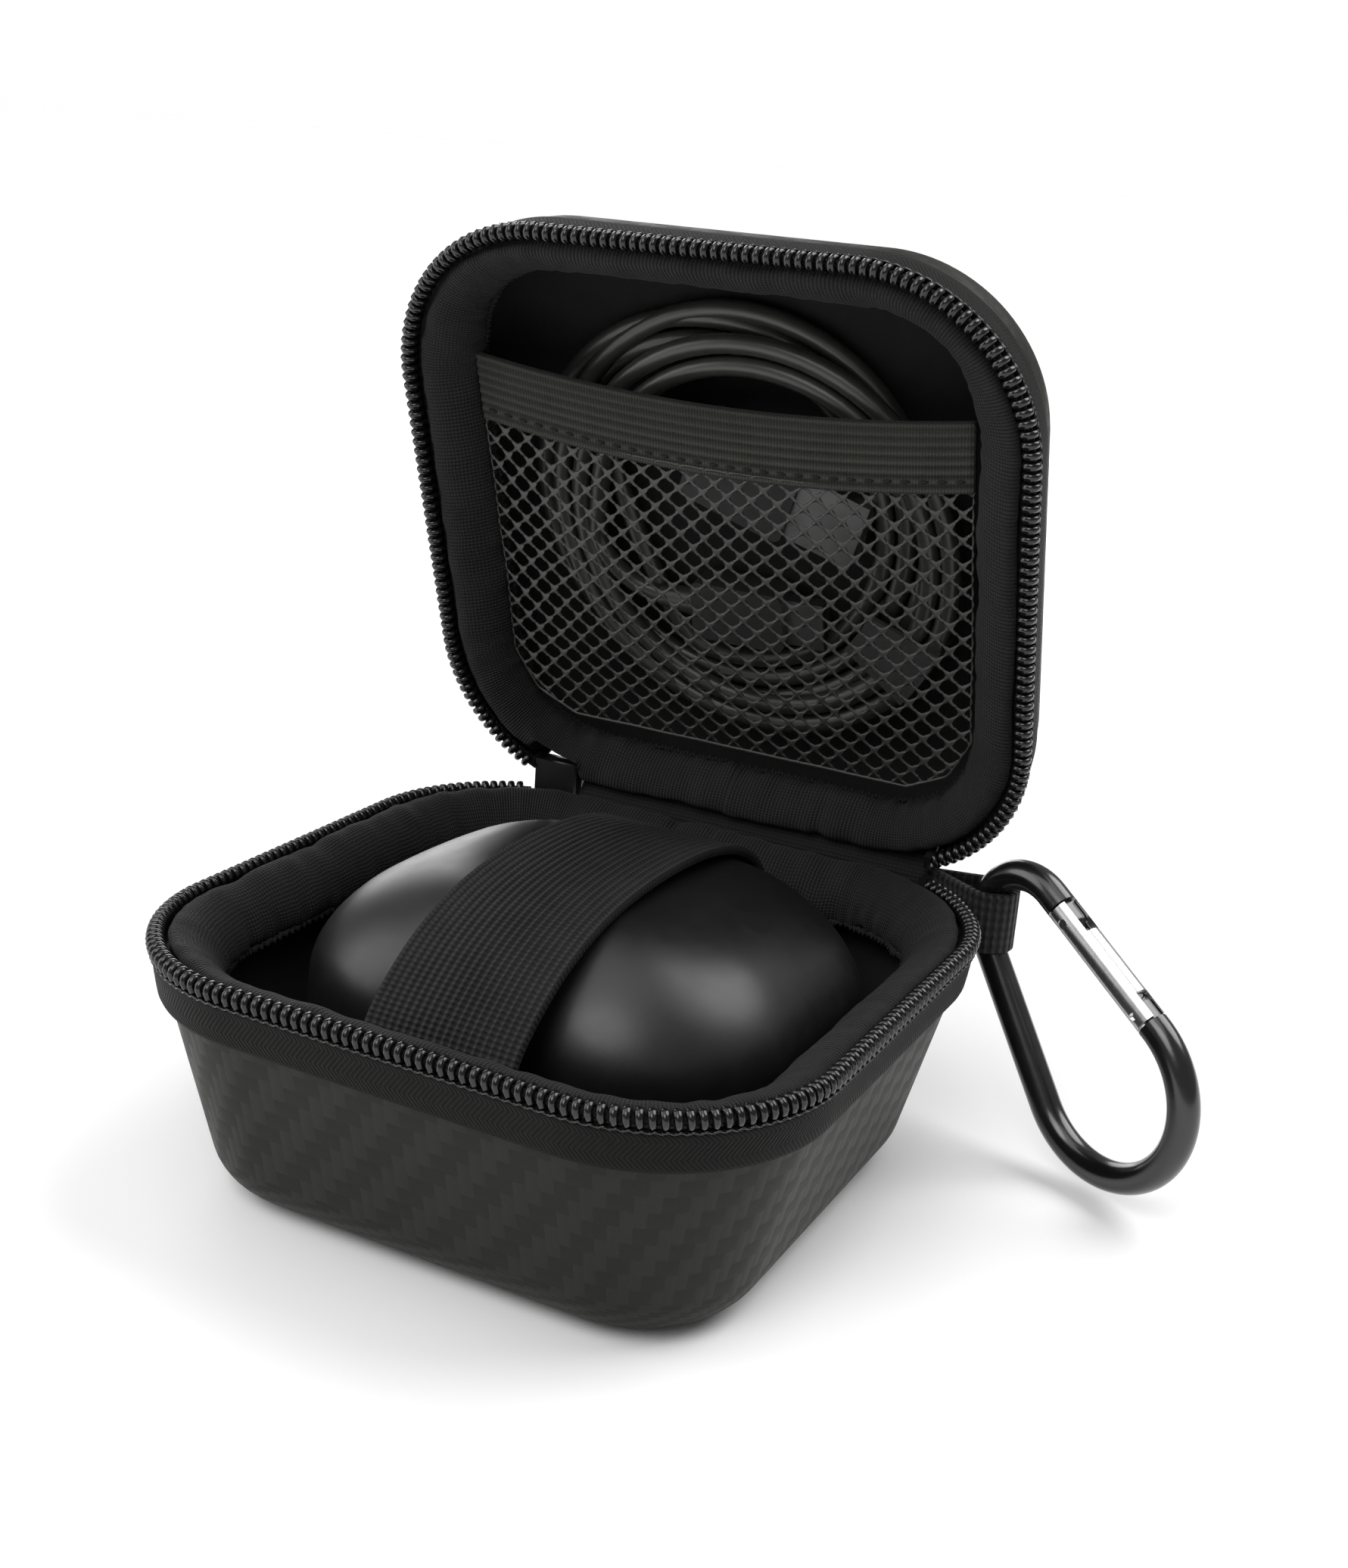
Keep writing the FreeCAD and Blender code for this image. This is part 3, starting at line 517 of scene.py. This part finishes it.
def wideSun(name, azimuthDeg, elevationDeg, spreadDeg, power):
    data = bpy.data.lights.new(name, "SUN")
    data.angle = math.radians(spreadDeg)
    data.energy = power
    lamp = bpy.data.objects.new(name, data)
    a, e = math.radians(azimuthDeg), math.radians(elevationDeg)
    toward = -Vector((math.cos(a) * math.cos(e), math.sin(a) * math.cos(e), math.sin(e)))
    lamp.rotation_euler = toward.to_track_quat("-Z", "Y").to_euler()
    bpy.context.scene.collection.objects.link(lamp)


middle = (0, 0.0, 0.05)
wideSun("backSun", 50, 52, 45, 2.3)
wideSun("frontSun", 235, 66, 60, 1.2)
softLight("frontPanel", (0.05, -0.55, 0.62), middle, 0.50, 2.2)
softLight("leftPanel", (-0.55, -0.25, 0.30), middle, 0.50, 1.5)
softLight("backPanel", (-0.55, 0.65, 0.22), middle, 0.60, 2.4)
world = bpy.data.worlds.new("studio")
world.use_nodes = True
wt = world.node_tree
seen = node(wt, "ShaderNodeLightPath").outputs["Is Camera Ray"]
glow = node(wt, "ShaderNodeMapRange", {"Value": seen, "To Min": 0.28, "To Max": 1.0})
wt.nodes["Background"].inputs[0].default_value = (1, 1, 1, 1)
wt.links.new(glow.outputs[0], wt.nodes["Background"].inputs[1])
bpy.context.scene.world = world
bpy.context.scene.view_settings.view_transform = "Standard"

bm = bmesh.new()
bmesh.ops.create_grid(bm, x_segments=1, y_segments=1, size=6)
floorMat = plainSkin("floorPaint", grey(0.86), grey(0.88), 0.8, scale=3.0)
floor = makeObject("floor", bm, None, floorMat)
floor.location.z = -0.0002

# ---- cable in the lid pocket ----
print("cable")


def lidPoint(x, v, w):
    # x, distance from the hinge line, height off the meeting plane, with the lid at rest
    return lidTurn @ Vector((x, case["hinge"].y - v, meetZ + w))


cable = {
    "thick": 3.3 * mm, "x": -1.5 * mm, "v": 49 * mm,
    "lowLayer": 14.1 * mm, "highLayer": 17.7 * mm, "perTurn": 16,
    "inner": 29.2 * mm, "step": 3.7 * mm,
    "lowShift": (3.5 * mm, -1.2 * mm), "highShift": (-3.4 * mm, 1.0 * mm),
}


def ringPoint(turnsRound, radius, w, shift=(0, 0)):
    # clockwise seen from the front, from the left of the coil
    a = math.pi - turnsRound * 2 * math.pi
    x, v = cable["x"] + shift[0], cable["v"] + shift[1]
    return lidPoint(x + radius * math.cos(a), v + radius * math.sin(a), w)


def coilRoute():
    low, high, n = cable["lowLayer"], cable["highLayer"], cable["perTurn"]
    plugW = 15.6 * mm
    points = [lidPoint(x * mm, v * mm, w) for x, v, w in (
        (-17, 33, plugW), (-20.5, 33.4, plugW), (-24.8, 36.6, 15.0 * mm), (-28.2, 41.8, 14.4 * mm))]
    for k in range(2 * n):
        t = k / n
        points.append(ringPoint(t, cable["inner"] + cable["step"] * t, low, cable["lowShift"]))
    outer = cable["inner"] + 2 * cable["step"]
    for k in range(3 * n - n // 8):
        t = k / n
        w = low + (high - low) * min(1, t * 5)
        fan = min(1, t * 2)
        shift = [a + (b - a) * fan for a, b in zip(cable["lowShift"], cable["highShift"])]
        points.append(ringPoint(t, outer - cable["step"] * max(0, t - 0.5) * 1.03, w, shift))
    points += [lidPoint(x * mm, v * mm, w) for x, v, w in (
        (-27.4, 60.2, 17.2 * mm), (-21.4, 65.0, 16.2 * mm), (-15, 64, plugW))]
    return points


def makeCable():
    points = coilRoute()
    curve = bpy.data.curves.new("chargingCable", "CURVE")
    curve.dimensions = "3D"
    curve.bevel_depth = cable["thick"] / 2
    curve.bevel_resolution = 4
    curve.resolution_u = 4
    spline = curve.splines.new("NURBS")
    spline.points.add(len(points) - 1)
    for p, co in zip(spline.points, points):
        p.co = (*co, 1)
    spline.order_u = 3
    spline.use_endpoint_u = True
    curve.materials.append(skins["cable"])
    obj = bpy.data.objects.new("chargingCable", curve)
    bpy.context.scene.collection.objects.link(obj)
    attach(obj, "lid")
    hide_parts("cable_coil")
    return obj


chargingCable = makeCable()

# ---- shells, linings, tapes, bindings ----
print("shells")
tray = {"wall": 2.4 * mm, "lining": 0.7 * mm, "topDrop": 3.4 * mm, "topInset": 1.6 * mm}
halves = {
    "base": {"height": case["baseHeight"], "draft": 14, "fillet": 9 * mm},
    "lid": {"height": case["lidHeight"], "draft": 7, "fillet": 12 * mm},
}


def wallProfile(height, drop, inset, draft, fillet, wall):
    slope = math.radians(draft)
    zTop, zLow = meetZ - drop, meetZ - height
    rTop = case["cornerR"] - inset
    zTan = zLow + fillet * (1 - math.sin(slope))
    rTan = rTop - (zTop - zTan) * math.tan(slope)
    rFlat = rTan - fillet * math.cos(slope)
    outside = [(rTop + (rTan - rTop) * k / 6, zTop + (zTan - zTop) * k / 6) for k in range(6)]
    outside += arcPoints(rFlat, zLow + fillet, fillet, -draft, -90, 10)
    inside = arcPoints(rFlat, zLow + fillet, fillet - wall, -90, -draft, 6)
    return outside + [(0, zLow), (0, zLow + wall)] + inside + [(rTop - wall / math.cos(slope), zTop)]


def clearHinge(slopeDeg):
    # the shells' walls stop short behind the hinge
    slope = math.tan(math.radians(slopeDeg))
    stop = meetZ - case["reliefDrop"]

    def change(u, at, r, z, j):
        if abs(at.x) < case["hingeHalf"] and at.y > case["hinge"].y - 8 * mm and z > stop:
            r -= (z - stop) * slope
            z = stop
        return r, z
    return change


def makeShell(half):
    s = halves[half]
    lid = half == "lid"
    turn = lidTurn if lid else None
    profile = wallProfile(s["height"], tray["topDrop"], tray["topInset"], s["draft"], s["fillet"], tray["wall"])
    bm = rimStrip(profile, 240, lid=lid, change=clearHinge(s["draft"]))
    makeObject(half + "Shell", bm, half, skins["shell"], (half + "_shell",), matrix=turn)
    slope = math.radians(s["draft"])
    inset = tray["topInset"] + tray["wall"] / math.cos(slope) + math.tan(slope) * mm
    profile = wallProfile(s["height"] - tray["wall"], tray["topDrop"] + mm, inset, s["draft"],
                          s["fillet"] - tray["wall"], tray["lining"])
    bm = rimStrip(profile, 240, lid=lid, change=clearHinge(s["draft"]))
    makeObject(half + "Lining", bm, half, skins["lining"], (half + "_lining",), matrix=turn)


for half in halves:
    makeShell(half)

zipper = {
    "from": 39.1 * mm,                         # rim run from the hinge's middle to the first tooth
    "pitch": 1.65 * mm, "wire": 0.54 * mm, "reachOut": 0.92 * mm, "reachUp": 1.02 * mm,
    "inset": 1.45 * mm, "drop": 1.68 * mm, "slantDeg": 7,
}
rimLength = roundLength(rimShape)
zipSpan = (zipper["from"], rimLength - zipper["from"])


def rimMatrix(u, inset, drop):
    foot, out = roundAt(u, rimShape)
    along = Vector((out.y, -out.x, 0))
    at = foot + out * (case["cornerR"] - inset) + Vector((0, 0, meetZ - drop))
    return Matrix.Translation(at) @ Matrix((along, out, Vector((0, 0, 1)))).transposed().to_4x4()


def makeTeeth(half):
    lid = half == "lid"
    bm = bmesh.new()
    ring = bmesh.ops.create_circle(bm, segments=8, radius=zipper["wire"])
    bmesh.ops.translate(bm, vec=(0, 1, 0), verts=ring["verts"])
    bmesh.ops.spin(bm, geom=bm.verts[:] + bm.edges[:], axis=(1, 0, 0), cent=(0, 0, 0), dvec=(0, 0, 0),
                   angle=2 * math.pi, steps=10, use_merge=True)
    for v in bm.verts:                          # a tall loop, thicker at its head
        r = math.hypot(v.co.y, v.co.z)
        c, s = v.co.y / r, v.co.z / r
        thick = (r - 1)
        head = 1 + 0.22 * max(0, s)
        v.co = Vector((v.co.x * head, c * (zipper["reachOut"] + thick), s * (zipper["reachUp"] + thick)))
    bmesh.ops.transform(bm, matrix=Matrix.Rotation(math.radians(zipper["slantDeg"]), 4, "Y"), verts=bm.verts)
    loop = bpy.data.meshes.new("loop")
    bm.to_mesh(loop)
    bm.clear()
    count = int((zipSpan[1] - zipSpan[0]) / zipper["pitch"])
    for k in range(count):
        u = zipSpan[0] + (k + 0.5) * zipper["pitch"]
        before = len(bm.verts)
        bm.from_mesh(loop)
        bm.verts.ensure_lookup_table()
        bmesh.ops.transform(bm, matrix=rimMatrix(u, zipper["inset"], zipper["drop"]), verts=bm.verts[before:])
    bpy.data.meshes.remove(loop)
    flip = Matrix.Translation((0, 0, 2 * meetZ)) @ Matrix.Diagonal((1, 1, -1, 1))
    teeth = makeObject(half + "Teeth", bm, half, skins["wire"], (half + "_teeth",),
                       matrix=lidTurn @ flip if lid else None)
    # filler cord inside the loops, and the row of stitches that holds them down
    R = case["cornerR"]
    core = arcPoints(R - zipper["inset"], meetZ - zipper["drop"] - 0.1 * mm, 0.66 * mm, 0, 300, 5)
    makeObject(half + "TeethCore", rimStrip(core, 160, zipSpan, lid=lid), half, skins["tape"],
               matrix=lidTurn if lid else None)
    sew = arcPoints(R - 0.6 * mm, meetZ - 3.15 * mm, 0.2 * mm, 0, 300, 5)
    beat = 2 * math.pi / zipper["pitch"]

    def wavy(u, at, r, z, j):
        swing = math.sin((u - zipSpan[0]) * beat)
        return r + 0.12 * mm * swing, z + 0.18 * mm * swing

    bm = rimStrip(sew, 1100, zipSpan, lid=lid, change=wavy)
    makeObject(half + "TeethStitch", bm, half, skins["wire"], matrix=lidTurn if lid else None)
    return teeth


def makeTape(half):
    R = case["cornerR"]
    points = [(0.7, 3.1), (0.85, 4.0), (1.05, 5.6), (1.3, 7.4), (1.55, 8.9), (1.8, 9.45), (2.3, 9.5), (2.6, 9.2),
              (2.2, 7.4), (1.9, 5.0), (1.6, 3.1)]
    profile = [(R - a * mm, meetZ - b * mm) for a, b in points]
    bm = rimStrip(profile, 240, zipSpan, lid=half == "lid")
    turn = lidTurn if half == "lid" else None
    makeObject(half + "Tape", bm, half, skins["tape"], (half + "_tape",), matrix=turn)


binding = {
    # (inside the zip line, below the meeting plane)
    "roll": [(3.25, 2.7), (3.45, 1.9), (4.3, 1.35), (5.6, 1.5), (7.3, 2.3), (9.0, 3.6), (10.4, 5.2), (11.3, 7.0),
             (11.3, 8.5), (10.7, 9.3), (9.8, 8.9), (8.6, 7.2), (7.0, 5.4), (4.6, 3.7)],
    "edgeRows": (7, 8, 9, 10),
    "puff": 0.45 * mm, "pucker": 0.70 * mm, "ripple": 0.42 * mm, "rise": 1.2 * mm, "narrow": 1.9 * mm,
    "seam": {"base": -8 * mm, "lid": 17 * mm}, "seamWide": 1.1 * mm, "seamDeep": 0.7 * mm,
    "sliderSide": (-39.2 * mm, -29.2 * mm), "sliderInset": 6.9 * mm,
}


def makeBinding(half):
    lid = half == "lid"
    R = case["cornerR"]
    seed = 7.0 if lid else 0.0

    def change(u, at, r, z, j):
        soft = noise.noise(Vector((u * 70, seed, j * 0.35)))
        tight = noise.noise(Vector((u * 420, seed + 3, j * 0.5)))
        edge = 1.0 if j in binding["edgeRows"] else 0.25
        r += binding["puff"] * soft + binding["pucker"] * tight * edge
        z += binding["puff"] * soft * 0.6 + binding["pucker"] * tight * edge * 0.6
        if lid and j > 2:                       # narrower along the lid's two long sides
            r += binding["narrow"] * smoothStep(abs(at.y), 28 * mm, 40 * mm) * min(1, (j - 2) / 4)
        z += binding["ripple"] * noise.noise(Vector((u * 260, seed + 5, j * 0.2)))
        if at.y > 0:                            # where the ribbon's two ends overlap
            step = (at.x - binding["seam"][half]) / binding["seamWide"]
            z -= binding["seamDeep"] * math.exp(-step * step)
        if lid:
            z = min(z, meetZ - 0.75 * mm)
        else:                                   # the roll stands higher on the left and at the back
            far = max(smoothStep(-at.x, 26 * mm, 42 * mm), smoothStep(at.y, 30 * mm, 42 * mm))
            z = min(z + binding["rise"] * far * max(0, 1 - j / 7), meetZ - 0.15 * mm)
        low, high = binding["sliderSide"]
        if lid and low < at.x < high and at.y > 0:
            r = min(r, R - binding["sliderInset"])
        return r, z

    profile = [(R - a * mm, meetZ - b * mm) for a, b in binding["roll"]]
    bm = rimStrip(profile, 560, lid=lid, change=change)
    turn = lidTurn if lid else None
    roll = makeObject(half + "Binding", bm, half, skins["binding"], (half + "_binding",), matrix=turn)
    subdivided(roll)
    # overlock stitches along the inner lower edge
    serge = arcPoints(R - 10.9 * mm, meetZ - 9.2 * mm, 0.5 * mm, 0, 300, 5)

    def stitches(u, at, r, z, j):
        beat = math.sin(u / (1.5 * mm) * 2 * math.pi)
        wander = noise.noise(Vector((u * 200, seed + 9, 0)))
        if lid:
            r += binding["narrow"] * smoothStep(abs(at.y), 28 * mm, 40 * mm)
        return r + (0.28 * beat + 0.4 * wander) * mm, z + (0.2 * beat + 0.3 * wander) * mm

    bm = rimStrip(serge, 760, lid=lid, change=stitches)
    makeObject(half + "BindingOverlock", bm, half, skins["binding"], matrix=turn)


print("zip and binding")
for half in halves:
    makeTeeth(half)
    makeTape(half)
    makeBinding(half)

# ---- cloth hinge ----
print("hinge")
hingeRun = {
    "left": -29 * mm, "right": 37.5 * mm, "thick": 0.9 * mm,
    # (y, z) up the outside and the inside, base to lid
    "outer": [(48.4, 26.0), (49.7, 31.0), (50.1, 35.0), (51.4, 38.8), (54.0, 41.7), (57.6, 43.1), (62.6, 45.2)],
    "inner": [(47.2, 35.6), (48.9, 38.0), (49.9, 40.4), (51.2, 42.4), (51.9, 44.9)],
    # where each starts and ends its bend
    "outerBend": ((50.1, 33.5), (57.6, 43.1)), "innerBend": ((48.9, 38.0), (51.2, 42.4)),
}


def makeHingeCloth(side, replaced=()):
    path, total = smoothPath([(0, y * mm, z * mm) for y, z in hingeRun[side]], 26)
    wide = hingeRun["right"] - hingeRun["left"]
    mid = Vector(((hingeRun["left"] + hingeRun["right"]) / 2, 0, 0))
    bm = ribbon([p + mid for p in path], total, wide, hingeRun["thick"], (1, 0, 0), 1, 40)
    cloth = makeObject("hingeCloth" + side.capitalize(), bm, None, skins["hinge"], replaced)
    start, end = [(0, y * mm, z * mm) for y, z in hingeRun[side + "Bend"]]
    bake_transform(cloth)
    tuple(start)
    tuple(end)


makeHingeCloth("outer", ("hinge_cloth_base", "hinge_cloth_lid"))
makeHingeCloth("inner")

# ---- stored device and its strap ----
print("device and strap")
device = {
    "long": 79 * mm, "wide": 71.2 * mm, "high": 44.6 * mm, "corner": 26 * mm, "topR": 20 * mm, "lowR": 15 * mm,
    "at": Vector((0.4 * mm, 3.4 * mm, 0)), "tilt": math.radians(-3), "low": 4.3 * mm,
    "crown": 5.5 * mm, "dome": 4 * mm,        # how far its top falls away, sideways and lengthways
}
deviceMid = Vector((0, 0, device["low"] + device["high"] / 2))
settle = Matrix.Translation(device["at"] + deviceMid) @ Matrix.Rotation(device["tilt"], 4, "X")
settle = settle @ Matrix.Translation(-deviceMid)


def makeDevice():
    d = device
    z0, z1, r = d["low"], d["low"] + d["high"], d["corner"]
    shape = (d["long"] / 2 - r, d["wide"] / 2 - r, r)
    profile = [(0, z0)] + arcPoints(r - d["lowR"], z0 + d["lowR"], d["lowR"], -90, 0, 12)
    profile += arcPoints(r - d["topR"], z1 - d["topR"], d["topR"], 0, 90, 18)
    profile += [((r - d["topR"]) * 0.5, z1), (0, z1)]

    def change(u, at, rr, z, j):
        if z > z1 - d["topR"]:
            fall = d["crown"] * (2 * at.x / d["long"]) ** 2 + d["dome"] * (2 * at.y / d["wide"]) ** 2
            z -= fall * (z - z1 + d["topR"]) / d["topR"]
        return rr, z

    bm = rimStrip(profile, 128, shape=shape, change=change)
    makeObject("storedDevice", bm, "base", skins["device"], ("stored_device",), matrix=settle)


makeDevice()

strap = {
    "wide": 24 * mm, "thick": 1.2 * mm, "x": 2 * mm, "ribs": 19,
    # (y, z) of its outer face, front to back
    "run": ((-41.9, 33.8), (-39.4, 37.6), (-35.0, 41.5), (-29.0, 45.3), (-21.5, 48.3), (-14.0, 50.0), (-6.0, 50.8),
            (3.0, 50.9), (12.0, 50.3), (20.0, 48.9), (27.0, 46.6), (33.0, 43.0), (37.2, 38.0), (39.8, 32.0)),
}


def makeStrap():
    over = [Vector((strap["x"], y * mm, z * mm)) for y, z in strap["run"]]
    path, total = smoothPath(over, 90)
    ribs = strap["ribs"]

    def swell(t, side):
        return 0.16 * mm * math.cos((side + 0.5) * ribs * 2 * math.pi)

    bm = ribbon(path, total, strap["wide"], strap["thick"], (1, 0, 0), 1, ribs * 4, swell)
    makeObject("elasticStrap", bm, "base", skins["strap"], ("elastic_strap",))


makeStrap()

# ---- net pocket and its band ----
print("pocket")
pocket = {
    "half": 42.4 * mm, "low": 11.2 * mm, "high": 66 * mm, "corner": 15 * mm, "sag": 3.5 * mm,
    "diagonal": 4.3 * mm, "strand": 0.75 * mm, "w": 6.5 * mm, "belly": 2.2 * mm,
    "band": 11 * mm, "bandThick": 1.1 * mm, "keep": 0.55,
}


def bellyAt(x, v):
    # how far the pocket bulges away from the lid's panel
    a = max(0, 1 - (x / pocket["half"]) ** 2)
    share = (v - pocket["low"]) / (pocket["high"] - pocket["low"] + 8 * mm)
    b = max(0, math.sin(math.pi * min(1, max(0, share))))
    return pocket["belly"] * a * b


def makeNet():
    p = pocket
    edge = p["diagonal"] / math.sqrt(2)
    cells = 34
    bm = bmesh.new()
    bmesh.ops.create_grid(bm, x_segments=cells, y_segments=cells, size=cells * edge / 2)
    slant = Matrix.Translation((0, (p["low"] + p["high"]) / 2, 0)) @ Matrix.Rotation(math.pi / 4, 4, "Z")
    bmesh.ops.transform(bm, matrix=slant, verts=bm.verts)
    cuts = [((p["half"], 0, 0), (1, 0, 0)), ((-p["half"], 0, 0), (-1, 0, 0)), ((0, p["low"], 0), (0, -1, 0)),
            ((0, p["high"] + mm, 0), (0, 1, 0))]
    for side in (-1, 1):                        # two planes round off each lower corner
        for deg in (30, 60):
            out = Vector((side * math.sin(math.radians(deg)), -math.cos(math.radians(deg)), 0))
            centre = Vector((side * (p["half"] - p["corner"]), p["low"] + p["corner"], 0))
            cuts.append((centre + out * p["corner"], out))
    for at, out in cuts:
        geom = bm.verts[:] + bm.edges[:] + bm.faces[:]
        bmesh.ops.bisect_plane(bm, geom=geom, plane_co=at, plane_no=out, clear_outer=True)
    for v in bm.verts:
        x, d = v.co.x, v.co.y
        mouth = p["sag"] * (1 - (x / p["half"]) ** 2)
        share = max(0, (d - p["low"]) / (p["high"] - p["low"]))
        d -= mouth * share ** 2
        jig = 0.35 * mm
        x += jig * noise.noise(Vector((v.co.x * 90, v.co.y * 90, 1)))
        d += jig * noise.noise(Vector((v.co.x * 90, v.co.y * 90, 5)))
        v.co = lidPoint(x, d, p["w"] - bellyAt(x, d))
    bmesh.ops.wireframe(bm, faces=bm.faces[:], thickness=p["strand"], offset=0, use_replace=True,
                        use_boundary=True, use_even_offset=True)
    net = makeObject("pocketNet", bm, "lid", skins["net"], ("pocket_net",))
    subdivided(net)
    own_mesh(net)


def makeBand():
    p = pocket
    steps = 80
    wide = 28

    def at(x, v, w):
        return lidPoint(x, v - p["sag"] * (1 - (x / p["half"]) ** 2), w - bellyAt(x, v))

    rows = [(k / wide, 0) for k in range(wide + 1)] + [(1 - k / wide, 1) for k in range(wide + 1)]

    def place(i, j):
        x = -p["half"] + 2 * p["half"] * i / steps
        share, behind = rows[j % len(rows)]
        rib = 0.14 * mm * math.cos(share * 7 * 2 * math.pi) * (1 - behind)
        w = p["w"] - 0.4 * mm - rib + behind * p["bandThick"]
        return at(x, p["high"] + share * p["band"], w)

    bm = bentGrid(steps, len(rows), place, (2 * p["half"], 2 * (p["band"] + p["bandThick"])))
    band = makeObject("pocketBand", bm, "lid", skins["band"], ("pocket_band",))
    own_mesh(band)
    # the row of stitches near its lower edge
    bm = bmesh.new()
    for k in range(29):
        x = -p["half"] + (k + 0.7) * 2 * p["half"] / 29.4
        made = bmesh.ops.create_uvsphere(bm, u_segments=8, v_segments=6, radius=0.36 * mm)
        a, b = (at(x + dx, p["high"] + 1.9 * mm, p["w"] - 0.55 * mm) for dx in (-0.8 * mm, 0.8 * mm))
        turn = (b - a).to_track_quat("X", "Z").to_matrix().to_4x4()
        matrix = Matrix.Translation((a + b) / 2) @ turn @ Matrix.Diagonal((2.4, 1, 0.8, 1))
        bmesh.ops.transform(bm, matrix=matrix, verts=made["verts"])
    stitches = makeObject("pocketBandStitches", bm, "lid", skins["thread"])
    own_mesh(stitches)


makeNet()
makeBand()

# ---- plugs and tie on the cable ----
plugPieces = [refined(n, "lid", skins[s]) for n, s in (
    ("usb_plug_body", "plug"), ("usb_plug_relief", "cable"), ("usb_plug_shell", "steel"),
    ("device_plug_body", "plug"), ("device_plug_relief", "cable"), ("device_plug_shell", "steel"),
    ("cable_tie", "tie"))]

# ---- carabiner, its gate and the webbing loop ----
print("carabiner")
carried = (
    ("carabiner", "rod", ("carabiner_frame",)),
    ("gate", "gate", ("gate_tube", "gate_rivet", "gate_latch_pin", "gate_plunger")),
    ("gate", "steel", ("gate_spring",)),
    ("base", "enamel", ("slider_body", "slider_bridge")),
    ("pull", "enamel", ("pull_tab",)),
    ("base", "enamel", ("base_end_stop",)),
    ("lid", "enamel", ("lid_end_stop",)))
for body, skin, names in carried:
    for n in names:
        refined(n, body, skins[skin])

loop = {
    "wide": 10 * mm, "thick": 1.0 * mm, "z": 36.5 * mm,
    "eye": Vector((48.45, 49.5, 0)) * mm, "eyeR": 4.5 * mm,     # where it goes round the rod
    "tail": Vector((30, 52.05, 0)) * mm,
    "neck": (11.4, 7), "apart": (0.55, 2.0),      # in mm: back from the eye, and half the gap there
}


def makeLoop():
    run = (loop["eye"] - loop["tail"]).normalized()
    side = Vector((-run.y, run.x, 0))
    lift = Vector((0, 0, loop["z"]))
    eye, r = loop["eye"], loop["eyeR"]
    (farBack, nearBack), (slim, wide) = loop["neck"], loop["apart"]
    points = [loop["tail"] + side * slim * mm, eye - run * farBack * mm + side * slim * mm,
              eye - run * nearBack * mm + side * wide * mm]
    for deg in (100, 60, 20, -20, -60, -100):
        a = math.radians(deg)
        points.append(eye + run * r * math.cos(a) + side * r * math.sin(a))
    points += [eye - run * nearBack * mm - side * wide * mm, eye - run * farBack * mm - side * slim * mm,
               loop["tail"] - side * slim * mm]
    path, total = smoothPath([p + lift for p in points], 110)
    bm = ribbon(path, total, loop["wide"], loop["thick"], (0, 0, 1), 1, 14)
    makeObject("webbingLoop", bm, "base", skins["webbing"], ("webbing_loop",))


makeLoop()

print("done")
